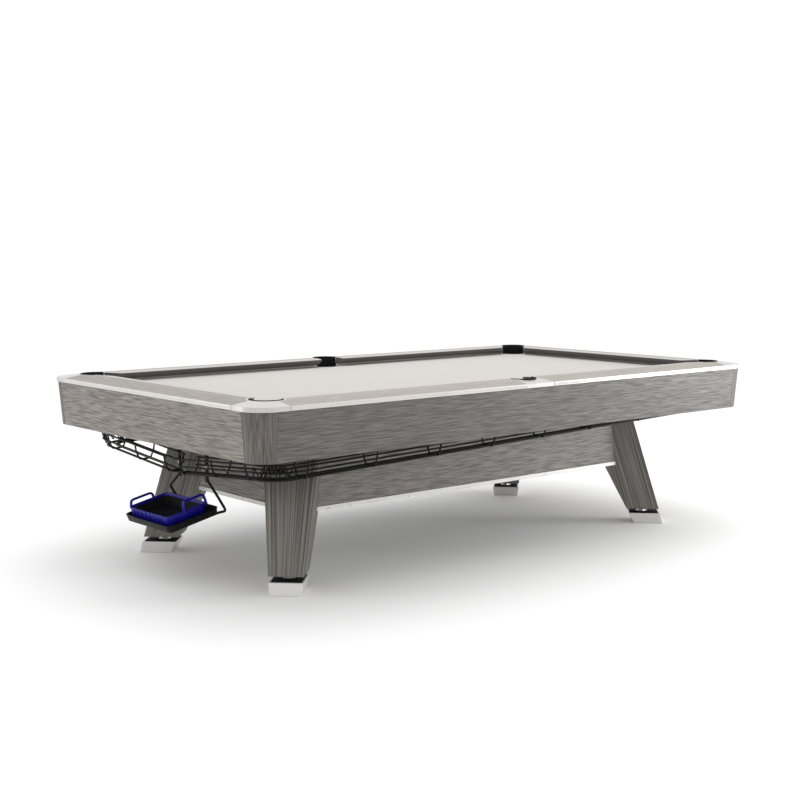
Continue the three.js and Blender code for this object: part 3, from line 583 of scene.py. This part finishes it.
# Section of the metal moulding: how far it stands proud, and its height.
STRIP_SECTION = [
    (-0.2, MOULDING_BOTTOM + 0.2), (1.1, MOULDING_BOTTOM + 0.4), (1.7, MOULDING_BOTTOM + 1.6),
    (1.9, MOULDING_BOTTOM + 3.6), (1.6, MOULDING_BOTTOM + 5.6), (0.3, MOULDING_BOTTOM + 6.6),
    (0.3, MOULDING_BOTTOM + 10.4), (1.6, MOULDING_BOTTOM + 11.4), (1.9, MOULDING_BOTTOM + 13.6),
    (1.7, MOULDING_BOTTOM + 16), (1.1, MOULDING_TOP + 0.3), (-0.2, MOULDING_TOP + 0.4),
]
STRIP_LONG = (81.5, OUTER_X - 155 - 0.8)
STRIP_SHORT = OUTER_Y - 155 - 0.8

for name, sy in SIDES:
    for end, sx in ENDS:
        strip = Shape()
        strip.rings([
            [(sx * x, sy * (OUTER_Y + proud), z) for proud, z in STRIP_SECTION]
            for x in STRIP_LONG
        ])
        strip.piece(f"moulding_{name}_{end}", STRIP_X, "satin_metal", flat_beyond=60)
for end, sx in ENDS:
    strip = Shape()
    strip.rings([
        [(sx * (OUTER_X + proud), y, z) for proud, z in STRIP_SECTION]
        for y in (-STRIP_SHORT, STRIP_SHORT)
    ])
    strip.piece(f"moulding_{end}", STRIP_Y, "satin_metal", flat_beyond=60)

# ---------------------------------------------------------------- cushions

# Section of a cushion: how far behind the nose, and how far above the bed cloth.
CUSHION_SECTION = [
    (50, 8), (30, 15), (10, 26.4), (3, 30.8), (1, 32.4), (0.1, 34.4), (0.1, 37),
    (0.4, 38), (1.2, 38.8), (2.6, 39.1), (20, 40.3), (38, 41.5), (46, 42), (50, 42),
]
CUSHION_STEPS = 48
POCKETS = [
    (name, sx * CORNER_POCKET[0], sy * CORNER_POCKET[1], CORNER_POCKET[2])
    for name, sx, sy in CORNERS
] + [(f"side_{name}", SIDE_POCKET[0], sy * SIDE_POCKET[1], SIDE_POCKET[2]) for name, sy in SIDES]


def clear_of_pockets(x, y):
    """The point, moved along the rail if it stands in a pocket."""
    for _, pocket_x, pocket_y, radius in POCKETS:
        reach = radius + LINER_WALL + 0.9
        away = Vector((x - pocket_x, y - pocket_y))
        if away.length < reach:
            away = away.normalized() * reach
            return pocket_x + away.x, pocket_y + away.y
    return x, y


def cushion(start, start_facing, end, end_facing, place):
    """A cushion along its own X, its ends cut at the facing angles.

    place puts a point of it on the table.
    """
    rings = []
    for step in range(CUSHION_STEPS + 1):
        share = step / CUSHION_STEPS
        ring = []
        for depth, height in CUSHION_SECTION:
            first = start - depth / math.tan(start_facing)
            last = end + depth / math.tan(end_facing)
            x, y = place(first + share * (last - first), depth)
            x, y = clear_of_pockets(x, y)
            ring.append((x, y, CLOTH_Z + height))
        rings.append(ring)
    shape = Shape()
    shape.rings(rings)
    return shape


CORNER_CUT = 127 / math.sqrt(2)
CORNER_FACING = math.radians(38)
SIDE_FACING = math.radians(76)
cushions = []
for name, sy in SIDES:
    for end, sx in ENDS:
        made = cushion(
            133 / 2, SIDE_FACING, NOSE_X - CORNER_CUT, CORNER_FACING,
            lambda x, depth, sx=sx, sy=sy: (sx * x, sy * (NOSE_Y + depth)),
        )
        cushions.append((f"cushion_{name}_{end}", made))
for end, sx in ENDS:
    reach = NOSE_Y - CORNER_CUT
    made = cushion(
        -reach, CORNER_FACING, reach, CORNER_FACING,
        lambda x, depth, sx=sx: (sx * (NOSE_X + depth), x),
    )
    cushions.append((f"cushion_{end}", made))
for node, made in cushions:
    piece = made.piece(
        node + "_covered", CUSHION_CLOTH_SHADED_SIDES, "cushion_cloth", replaces=[node], flat_beyond=50,
    )

# ---------------------------------------------------------------- bed

HOLE_STEPS = 40


def hole_points(pocket, start=0.0, sweep=TURN, closed=True):
    """Points round a pocket's opening in the cloth."""
    _, x, y, radius = pocket
    reach = radius + LINER_WALL + 0.4
    count = HOLE_STEPS if closed else HOLE_STEPS + 1
    return [
        (x + reach * math.cos(start + sweep * k / HOLE_STEPS),
         y + reach * math.sin(start + sweep * k / HOLE_STEPS))
        for k in range(count)
    ]


def side_notch(sy):
    """The cloth's edge at a side pocket, which is cut where the pocket meets the edge."""
    pocket = POCKETS[4] if sy < 0 else POCKETS[5]
    reach = pocket[3] + LINER_WALL + 0.4
    half = math.acos((SLATE_Y - SIDE_POCKET[1]) / reach)
    middle = TURN / 4 * sy
    return hole_points(pocket, middle + half, TURN - 2 * half, closed=False)


outline = [(-SLATE_X, -SLATE_Y)]
front_notch = side_notch(-1)
back_notch = side_notch(1)
outline += front_notch if front_notch[0][0] < front_notch[-1][0] else front_notch[::-1]
outline += [(SLATE_X, -SLATE_Y), (SLATE_X, SLATE_Y)]
outline += back_notch if back_notch[0][0] > back_notch[-1][0] else back_notch[::-1]
outline += [(-SLATE_X, SLATE_Y)]
loops = [outline] + [hole_points(pocket) for pocket in POCKETS[:4]]
flat_points = [point for loop in loops for point in loop]
triangles = tessellate_polygon([[Vector((x, y, 0)) for x, y in loop] for loop in loops])
bed = Shape()
bed.add([(x, y, CLOTH_Z) for x, y in flat_points], triangles)
start = len(outline)
for pocket in POCKETS[:4]:
    ring = list(range(start, start + HOLE_STEPS))
    start += HOLE_STEPS
    for inward, drop in ((0.3, 1.2), (0.4, 4.0), (0.4, 16.0)):
        reach = pocket[3] + LINER_WALL + 0.4 - inward
        first = len(bed.points)
        bed.points += [
            (pocket[1] + reach * math.cos(TURN * k / HOLE_STEPS),
             pocket[2] + reach * math.sin(TURN * k / HOLE_STEPS),
             CLOTH_Z - drop)
            for k in range(HOLE_STEPS)
        ]
        fresh = list(range(first, first + HOLE_STEPS))
        bed.faces += [
            (ring[k], ring[(k + 1) % HOLE_STEPS], fresh[(k + 1) % HOLE_STEPS], fresh[k])
            for k in range(HOLE_STEPS)
        ]
        ring = fresh
bed_piece = bed.piece("bed_cloth_stretched", BED_CLOTH, "bed_cloth", replaces=["bed_cloth"])
thick = bed_piece.modifiers.new("thickness", "SOLIDIFY")
thick.thickness = 0.0012
thick.offset = -1
for name in ("foot", "middle", "head"):
    from_frame(f"slate_{name}", STONE, 1.0)
for number in range(1, 5):
    from_frame(f"cross_beam_{number}", PLYWOOD, 2.0)

# ---------------------------------------------------------------- pocket liners

LINER_STEPS = 72
LINER_TOP = CREST_Z + 2.6


def liner_top(x, y):
    """How high the liner stands there: behind the cushions it reaches the rail's top."""
    inside = min(BED_X - abs(x), BED_Y - abs(y))
    share = min(max((2 - inside) / 8, 0), 1)
    low = CLOTH_Z - 2.2
    return low + share * share * (3 - 2 * share) * (LINER_TOP - low)


for pocket_name, pocket_x, pocket_y, radius in POCKETS:
    rings = []
    for k in range(LINER_STEPS):
        angle = TURN * k / LINER_STEPS
        out = Vector((math.cos(angle), math.sin(angle)))
        rim = Vector((pocket_x, pocket_y)) + out * (radius + LINER_WALL)
        top = liner_top(*rim)
        raised = min(max((top - CLOTH_Z) / 20, 0), 1)
        flange = LINER_WALL + raised * 4.5
        section = [
            (radius, LINER_BOTTOM + 1), (radius, top - 3), (radius + 0.8, top - 0.9),
            (radius + 2.5, top), (radius + flange - 1.5, top - 0.3),
            (radius + flange, top - 1.6 * raised - 0.5), (radius + LINER_WALL, top - 2.5),
            (radius + LINER_WALL, LINER_BOTTOM + 1), (radius + LINER_WALL - 1, LINER_BOTTOM),
            (radius + 1, LINER_BOTTOM),
        ]
        rings.append([
            (pocket_x + out.x * distance, pocket_y + out.y * distance, z)
            for distance, z in section
        ])
    liner = Shape()
    liner.rings(rings, joined=True)
    liner.piece(
        f"pocket_boot_{pocket_name}", RUBBER, "black_rubber",
        replaces=[f"pocket_liner_{pocket_name}"], flat_beyond=50,
    )

# ---------------------------------------------------------------- aprons, posts, legs and base

for name, _ in SIDES:
    from_frame(f"apron_{name}", APRON_SHADED_X, 1.2)
for end, _ in ENDS:
    from_frame(f"apron_{end}", WOOD_Y, 1.2)
for name, _, _ in CORNERS:
    from_frame(f"corner_post_{name}", POST_Z, 1.2)
    from_frame(f"leg_{name}", WOOD_Z, 2.0)
for name, _ in SIDES:
    from_frame(f"base_panel_{name}", WOOD_X, 1.0)
for end, _ in ENDS:
    from_frame(f"base_panel_{end}", WOOD_Y, 1.0)

def leg_section(z):
    """How far the leg's outer face is from its axis, its depth and its width, at a height."""
    share = (600 - z) / 600
    return 10 + share * 184, 272 - share * 132, 236 - share * 108


def beside_leg(sx, sy, outward, across):
    return (
        sx * LEG_X + DIAGONAL * (sx * outward - sy * across),
        sy * LEG_Y + DIAGONAL * (sy * outward + sx * across),
    )


def leg_corners(sx, sy, z, grow=0):
    """The leg's four corners at a height, in order round it."""
    out, depth, width = leg_section(z)
    half = width / 2 + grow
    places = [
        (out + grow, -half), (out + grow, half),
        (out - depth - grow, half), (out - depth - grow, -half),
    ]
    return [(*beside_leg(sx, sy, *place), z) for place in places]


SHOE_TOP = 50
PAD_TOP = 53
TRIM_TOP = BASE_BOTTOM + 16
for name, sx, sy in CORNERS:
    node = f"levelling_foot_{name}"
    body = node
    shoe = block(leg_corners(sx, sy, 0) + leg_corners(sx, sy, SHOE_TOP), 2.2, 3)
    weigh_normals(add_piece(f"shoe_{name}", shoe, SHOE, body, [node]))
    out, depth, _ = leg_section(72)
    stud_x, stud_y = beside_leg(sx, sy, out - depth / 2, 0)
    # A black rubber pad on the shoe's top. It also darkens the gap under the leg as painted shade.
    pad = block(leg_corners(sx, sy, SHOE_TOP - 1, -7) + leg_corners(sx, sy, PAD_TOP, -7), 1)
    add_piece(f"shoe_pad_{name}", pad, RUBBER, body)
    hardware = Shape()
    hardware.lathe((stud_x, stud_y, PAD_TOP), (0, 0, 1), [
        (28, -0.5), (28, 0.8), (27.2, 1.4), (12, 1.4), (12, -0.5),
    ], 32)
    hexagon = [
        [(stud_x + r * math.cos(TURN * k / 6), stud_y + r * math.sin(TURN * k / 6), z)
         for k in range(6)]
        for r, z in ((15.8, 54.4), (17, 55.2), (17, 57.6), (15.8, 58.4))
    ]
    hardware.rings(hexagon)
    thread = []
    height = 50.5
    while height < 116:
        thread += [(8.9, height), (8.1, height + 0.75)]
        height += 1.5
    hardware.lathe((stud_x, stud_y, 0), (0, 0, 1), thread + [(6.5, 117)], 20)
    hardware.piece(f"levelling_stud_{name}", STEEL, "satin_metal", body, flat_beyond=30)

# Metal trim round the bottom of the base box, ending against the legs.
LEG_GAP = 1.2
TRIM_DEPTHS = (2.6, 3.8)


def trim_reach(leg_along, leg_beside, line, z):
    """How far from the middle a line along the base box runs before it meets the legs."""
    half = leg_section(z)[2] / 2 + LEG_GAP
    return leg_along + (line - leg_beside) - half / DIAGONAL


def mirrored(point, axis):
    return tuple(-value if index == axis else value for index, value in enumerate(point))


def trim_strip(corners, axis):
    """A strip that is the same on both sides of the middle, from the corners of one end."""
    a, b, c, d = corners
    ring = [mirrored(a, axis), a, b, mirrored(b, axis)]
    ring += [mirrored(c, axis), c, d, mirrored(d, axis)]
    return block(ring, 0.3, 1)


for name, sy in SIDES:
    corners = []
    for z in (BASE_BOTTOM - 0.6, TRIM_TOP + 0.4):
        for proud in TRIM_DEPTHS:
            y = BASE_Y + proud
            corners.append((trim_reach(LEG_X, LEG_Y, y, z), sy * y, z))
    add_piece(f"base_trim_{name}", trim_strip(corners, 0), STRIP_X)
for end, sx in ENDS:
    corners = []
    for z in (BASE_BOTTOM - 0.6, TRIM_TOP + 0.4):
        for proud in TRIM_DEPTHS:
            x = BASE_X + proud
            corners.append((sx * x, trim_reach(LEG_Y, LEG_X, x, z), z))
    add_piece(f"base_trim_{end}", trim_strip(corners, 1), STRIP_Y)

# ---------------------------------------------------------------- wire ball return

TRACK_Y = 650
CROSS_X = 1262
BEND_RADIUS = 90
FLOOR_HALF, HIP_HALF, TOP_HALF = 23, 39, 45
HIP_UP, TOP_UP = 29.7, 66
HEAD_X = 1335


def track_line():
    """The middle of the track's floor on the front side, from the head end to the trays."""
    line = [Vector((HEAD_X, -TRACK_Y, 562))]
    steps = 10
    for step in range(steps + 1):
        share = step / steps
        angle = -(1 + share) * TURN / 4
        line.append(Vector((
            -CROSS_X + BEND_RADIUS + BEND_RADIUS * math.cos(angle),
            -TRACK_Y + BEND_RADIUS + BEND_RADIUS * math.sin(angle),
            482 - share * 4,
        )))
    line.append(Vector((-CROSS_X, -45, 436)))
    return line


TRACK = track_line()


def track_frame(index):
    """The level heading and the sideways direction at one of the line's points."""
    before = TRACK[max(index - 1, 0)]
    after = TRACK[min(index + 1, len(TRACK) - 1)]
    here = TRACK[index]
    arriving = Vector((here.x - before.x, here.y - before.y, 0))
    leaving = Vector((after.x - here.x, after.y - here.y, 0))
    heading = (arriving.normalized() + leaving.normalized()).normalized()
    return heading, Vector((-heading.y, heading.x, 0))


def beside_track(across, above):
    return [
        point + track_frame(index)[1] * across + Vector((0, 0, above))
        for index, point in enumerate(TRACK)
    ]


def hoop_path(centre, heading, arm):
    """The middle of a hoop's wire, from tip to tip."""
    side = Vector((-heading.y, heading.x, 0))
    half = [(FLOOR_HALF + 2.5, -2.5), (HIP_HALF + 2.5, HIP_UP), (TOP_HALF + 2.5, TOP_UP)]
    if arm > TOP_UP:
        half.append((TOP_HALF + 2.5, arm))
    outline = [(-across, above) for across, above in half[::-1]] + half
    return rounded_path(
        [centre + side * across + Vector((0, 0, above)) for across, above in outline], 9, 4,
    )


def loop_of(across, above):
    """Both long wires at a height as one loop that turns back at the two ends."""
    outside = beside_track(across, above)
    inside = beside_track(-across, above)[::-1]
    path = outside
    for ends in ((outside[-1], inside[0]), (inside[-1], outside[0])):
        first, last = ends
        middle = (first + last) / 2
        index = len(TRACK) - 1 if first is outside[-1] else 0
        heading = track_frame(index)[0] * (1 if index else -1)
        turn = [
            middle + (first - middle) * math.cos(TURN / 2 * k / 8)
            + heading * abs(across) * 0.8 * math.sin(TURN / 2 * k / 8)
            for k in range(1, 8)
        ]
        path = path + turn
        if index:
            path = path + inside
    return path


FLOOR_WIRE, SIDE_WIRE, LACING_WIRE = 5.2, 3.9, 2.8
TALL_HOOP_WIRE, LOW_HOOP_WIRE = 4, 3.7
HOOP_FROM_END, HOOP_SPACING, HOOP_CLEAR_OF_BEND = 15, 320, 12


def track_shape():
    shape = Shape()
    shape.tube(loop_of(FLOOR_HALF - 3.5, 0), FLOOR_WIRE, joined=True)
    for across, above in ((HIP_HALF, HIP_UP), (TOP_HALF, TOP_UP - 6)):
        shape.tube(beside_track(across, above), SIDE_WIRE)
        shape.tube(beside_track(-across, above), SIDE_WIRE)
    start, bend = TRACK[0], TRACK[1]
    direction = (bend - start).normalized()
    sideways = Vector((-direction.x, -direction.y, 0)).normalized()
    beams = [start.lerp(bend, (start.x - x) / (start.x - bend.x)) for x in BEAM_XS][::-1]
    for place in beams:
        arm = BEAM_BOTTOM - 0.6 - place.z
        shape.tube(hoop_path(place, direction, arm), TALL_HOOP_WIRE)
    low_places = [start + direction * HOOP_FROM_END]
    for first, last in zip(beams, beams[1:]):
        count = max(1, round((last - first).length / HOOP_SPACING))
        low_places += [first.lerp(last, step / count) for step in range(1, count)]
    for place in low_places:
        shape.tube(hoop_path(place, direction, TOP_UP), LOW_HOOP_WIRE)
    first, last = TRACK[-2], TRACK[-1]
    cross = (last - first).normalized()
    first = first + cross * (HOOP_CLEAR_OF_BEND + HOOP_FROM_END)
    last = last - cross * HOOP_FROM_END
    for step in range(3):
        shape.tube(hoop_path(first.lerp(last, step / 2), cross, TOP_UP), LOW_HOOP_WIRE)
    for side in (-1, 1):
        low_line = beside_track(side * (FLOOR_HALF + 1), 2)
        high_line = beside_track(side * (TOP_HALF + 1), TOP_UP - 6)
        lacing = [
            (low_line if index % 2 else high_line)[index] for index in range(1, len(TRACK) - 1)
        ]
        shape.tube(rounded_path(lacing, 6, 3), LACING_WIRE, 8)
    return shape, beams


track, beams = track_shape()
for name, sy in SIDES:
    placed = Shape()
    placed.add([(x, -sy * y, z) for x, y, z in map(tuple, track.points)], track.faces)
    placed.piece(f"wire_track_{name}", WIRE, "black_wire", replaces=[f"ball_track_{name}"])
    clips = Shape()
    fixings = Shape()
    for place in beams:
        for across in (-1, 1):
            y = place.y + across * (TOP_HALF + 2.5)
            low = (place.x - 11, -sy * y - 7, BEAM_BOTTOM - 3)
            high = (place.x + 11, -sy * y + 7, BEAM_BOTTOM - 0.5)
            clip = bar(low, high, 0.6)
            clips.add(
                [tuple(vertex.co / MM) for vertex in clip.vertices],
                [tuple(face.vertices) for face in clip.polygons],
            )
            for along_x in (-7, 7):
                fixings.bolt((place.x + along_x, -sy * y, BEAM_BOTTOM - 3), (0, 0, -1), 2.2)
    clips.piece(f"track_clips_{name}", WIRE, "black_wire")
    fixings.piece(f"track_fixings_{name}", STEEL, "satin_metal")

# ---------------------------------------------------------------- trays

TRAY_TILT = math.radians(12.6)
TRAY_ORIGIN = Vector((-1428, 0, 226))
tray_turn = Matrix.Rotation(-TRAY_TILT, 3, "Y")


def in_tray(shape):
    """Puts a shape made in the tray's own frame into place."""
    shape.points = [tuple(TRAY_ORIGIN + tray_turn @ Vector(point)) for point in shape.points]
    return shape


def tray_shell(shape, x0, x1, half, z0, height, wall, radius, flare, lip):
    """An open tray: its walls lean out by flare and end in a rolled lip."""
    def ring(grow, z, corner):
        return rounded_ring(x0 - grow, x1 + grow, -half - grow, half + grow, z, corner)

    inner = radius - wall
    shape.rings([
        ring(-flare - 1.5, z0, radius - 1.5),
        ring(-flare, z0 + 1.5, radius),
        ring(0, z0 + height - 2.5, radius),
        ring(lip, z0 + height - 2, radius + lip),
        ring(lip + 0.3, z0 + height - 1, radius + lip),
        ring(lip - 0.4, z0 + height, radius + lip),
        ring(-wall + 0.8, z0 + height, inner),
        ring(-wall, z0 + height - 1, inner),
        ring(-wall - flare, z0 + wall + 2, inner),
        ring(-wall - flare - 2, z0 + wall, inner - 2),
    ])


liner = Shape()
tray_shell(
    liner, x0=2, x1=243, half=178, z0=0, height=28, wall=4, radius=26, flare=3, lip=1.6,
)
for k in range(11):
    y = -140 + 28 * k
    liner.tube([(22, y, 4), (222, y, 4)], 1.4, 8)
in_tray(liner).piece("tray_black", BLACK, "black_plastic", replaces=["liner_tray"])

BALL_BODY = "ball_tray"
TRAY_FLOOR = 4.4
TRAY_HEIGHT = 55
RIB = 1.3
HANDLE_BAND, HANDLE_THICKNESS = 8, 5
tray = Shape()
tray_shell(
    tray, x0=15.6, x1=202.4, half=153.4, z0=TRAY_FLOOR, height=TRAY_HEIGHT,
    wall=4, radius=22, flare=4, lip=1.6,
)
for sy in (-1, 1):
    for k in range(5):
        x = 46 + 31 * k
        tray.tube([(x, sy * 150.4, 12), (x, sy * 152.6, 54)], RIB, 8)
for k in range(8):
    y = -112 + 32 * k
    tray.tube([(12.2 + 3.8, y, 12), (12.2 + 2, y, 54)], RIB, 8)
# Each handle: its side, where it starts and ends along the tray, and its rise above the rim.
handles = ((1, 26, 138, 30), (-1, 96, 204, 44))
for sy, start_x, end_x, rise in handles:
    y = sy * 150.6
    top = TRAY_FLOOR + TRAY_HEIGHT + rise - HANDLE_BAND
    foot = TRAY_FLOOR + 44
    path = [(start_x, y, foot), (start_x + 6, y, top), (end_x - 6, y, top), (end_x, y, foot)]
    tray.tube(rounded_path(path, 16, 6), HANDLE_BAND, 14, across=HANDLE_THICKNESS)
in_tray(tray).piece(
    "tray_blue", BLUE, "blue_plastic", BALL_BODY, ["ball_tray"], flat_beyond=45,
)

mat = Shape()
tray_shell(
    mat, x0=21.5, x1=196.5, half=147.5, z0=TRAY_FLOOR + 4.4, height=40,
    wall=2.5, radius=17, flare=3.4, lip=0,
)
mat.rings([
    rounded_ring(26, 192, -142, 142, TRAY_FLOOR + 4.2, 14),
    rounded_ring(26, 192, -142, 142, TRAY_FLOOR + 6.4, 14),
    rounded_ring(27, 191, -141, 141, TRAY_FLOOR + 7.2, 13),
])
for k in range(17):
    y = -128 + 16 * k
    mat.tube([(32, y, TRAY_FLOOR + 7), (186, y, TRAY_FLOOR + 7)], 1.5, 8)
in_tray(mat).piece("tray_mat", MAT, "black_plastic", BALL_BODY)

# ---------------------------------------------------------------- tray hangers

HANGER_BAR_X = -1210.5
HANGER_X = HANGER_BAR_X + 2.5
BAR_BOTTOM = 398
SLATE_BOTTOM = 722.7
ROD = 6


def under_tray(distance):
    """X and height just below the black tray at a distance up its slope."""
    drop = ROD + 1
    x = TRAY_ORIGIN.x + distance * math.cos(TRAY_TILT) + drop * math.sin(TRAY_TILT)
    z = TRAY_ORIGIN.z + distance * math.sin(TRAY_TILT) - drop * math.cos(TRAY_TILT)
    return x, z


for name, sy in SIDES:
    y = sy * 105
    flat_bar = bar((HANGER_BAR_X, y - 12.5, BAR_BOTTOM), (HANGER_BAR_X + 5, y + 12.5, SLATE_BOTTOM), 1.2)
    add_piece(f"hanger_bar_{name}", flat_bar, WIRE, replaces=[f"tray_hanger_{name}"])
    arm_y = sy * 187
    shelf_y = sy * 140
    back_x, back_z = under_tray(257)
    front_x, front_z = under_tray(25)
    rod = Shape()
    rod.tube(rounded_path([
        (HANGER_X, y, BAR_BOTTOM + 12),
        (HANGER_X, arm_y, (BAR_BOTTOM + back_z) / 2 + 12),
        (back_x + ROD, arm_y, back_z + 12),
        (back_x, shelf_y, back_z),
        (front_x, shelf_y, front_z),
    ], 22, 6), ROD - 0.5, 12)
    rod.piece(f"hanger_rod_{name}", WIRE, "black_wire")
    bolts = Shape()
    for z in (BAR_BOTTOM + 34, BAR_BOTTOM + 62, SLATE_BOTTOM - 30):
        bolts.bolt((HANGER_BAR_X, y, z), (-1, 0, 0), 5)
        bolts.bolt((HANGER_BAR_X + 5, y, z), (1, 0, 0), 5)
    bolts.piece(f"hanger_bolts_{name}", STEEL, "satin_metal")

# ---------------------------------------------------------------- floor and light

FLOOR_HALF_SIZE = 40
floor_mesh = bpy.data.meshes.new("floor")
floor_mesh.from_pydata(
    [(sx * FLOOR_HALF_SIZE, sy * FLOOR_HALF_SIZE, -0.0005)
     for sx, sy in ((-1, -1), (1, -1), (1, 1), (-1, 1))],
    [], [(0, 1, 2, 3)],
)
floor = bpy.data.objects.new("floor", floor_mesh)
bpy.context.scene.collection.objects.link(floor)
floor_paint = Paint("pale_floor", (0.96, 0.96, 0.96), 0.9)
floor_mesh.materials.append(floor_paint.material)
floor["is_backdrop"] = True

bpy.context.scene.view_settings.view_transform = "Standard"
world = bpy.data.worlds.new("studio")
bpy.context.scene.world = world
world.use_nodes = True
world.node_tree.nodes["Background"].inputs["Color"].default_value = (1, 1, 1, 1)
world.node_tree.nodes["Background"].inputs["Strength"].default_value = 1.05


def soft_light(name, place, target, size, power):
    light = bpy.data.lights.new(name, "AREA")
    light.shape = "SQUARE"
    light.size = size
    light.energy = power
    lamp = bpy.data.objects.new(name, light)
    lamp.location = place
    direction = Vector(target) - Vector(place)
    lamp.rotation_mode = "QUATERNION"
    lamp.rotation_quaternion = direction.to_track_quat("-Z", "Y")
    bpy.context.scene.collection.objects.link(lamp)


soft_light("overhead", (0.6, 0.8, 5.5), (0, 0, 0.7), 4, 60)
soft_light("key", (3.4, -2.6, 0.72), (1.3, -0.8, 0.6), 1.2, 62)
soft_light("foot_fill", (-4.6, 2.6, 0.9), (-1.2, 0.2, 0.2), 1.6, 22)

low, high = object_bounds()
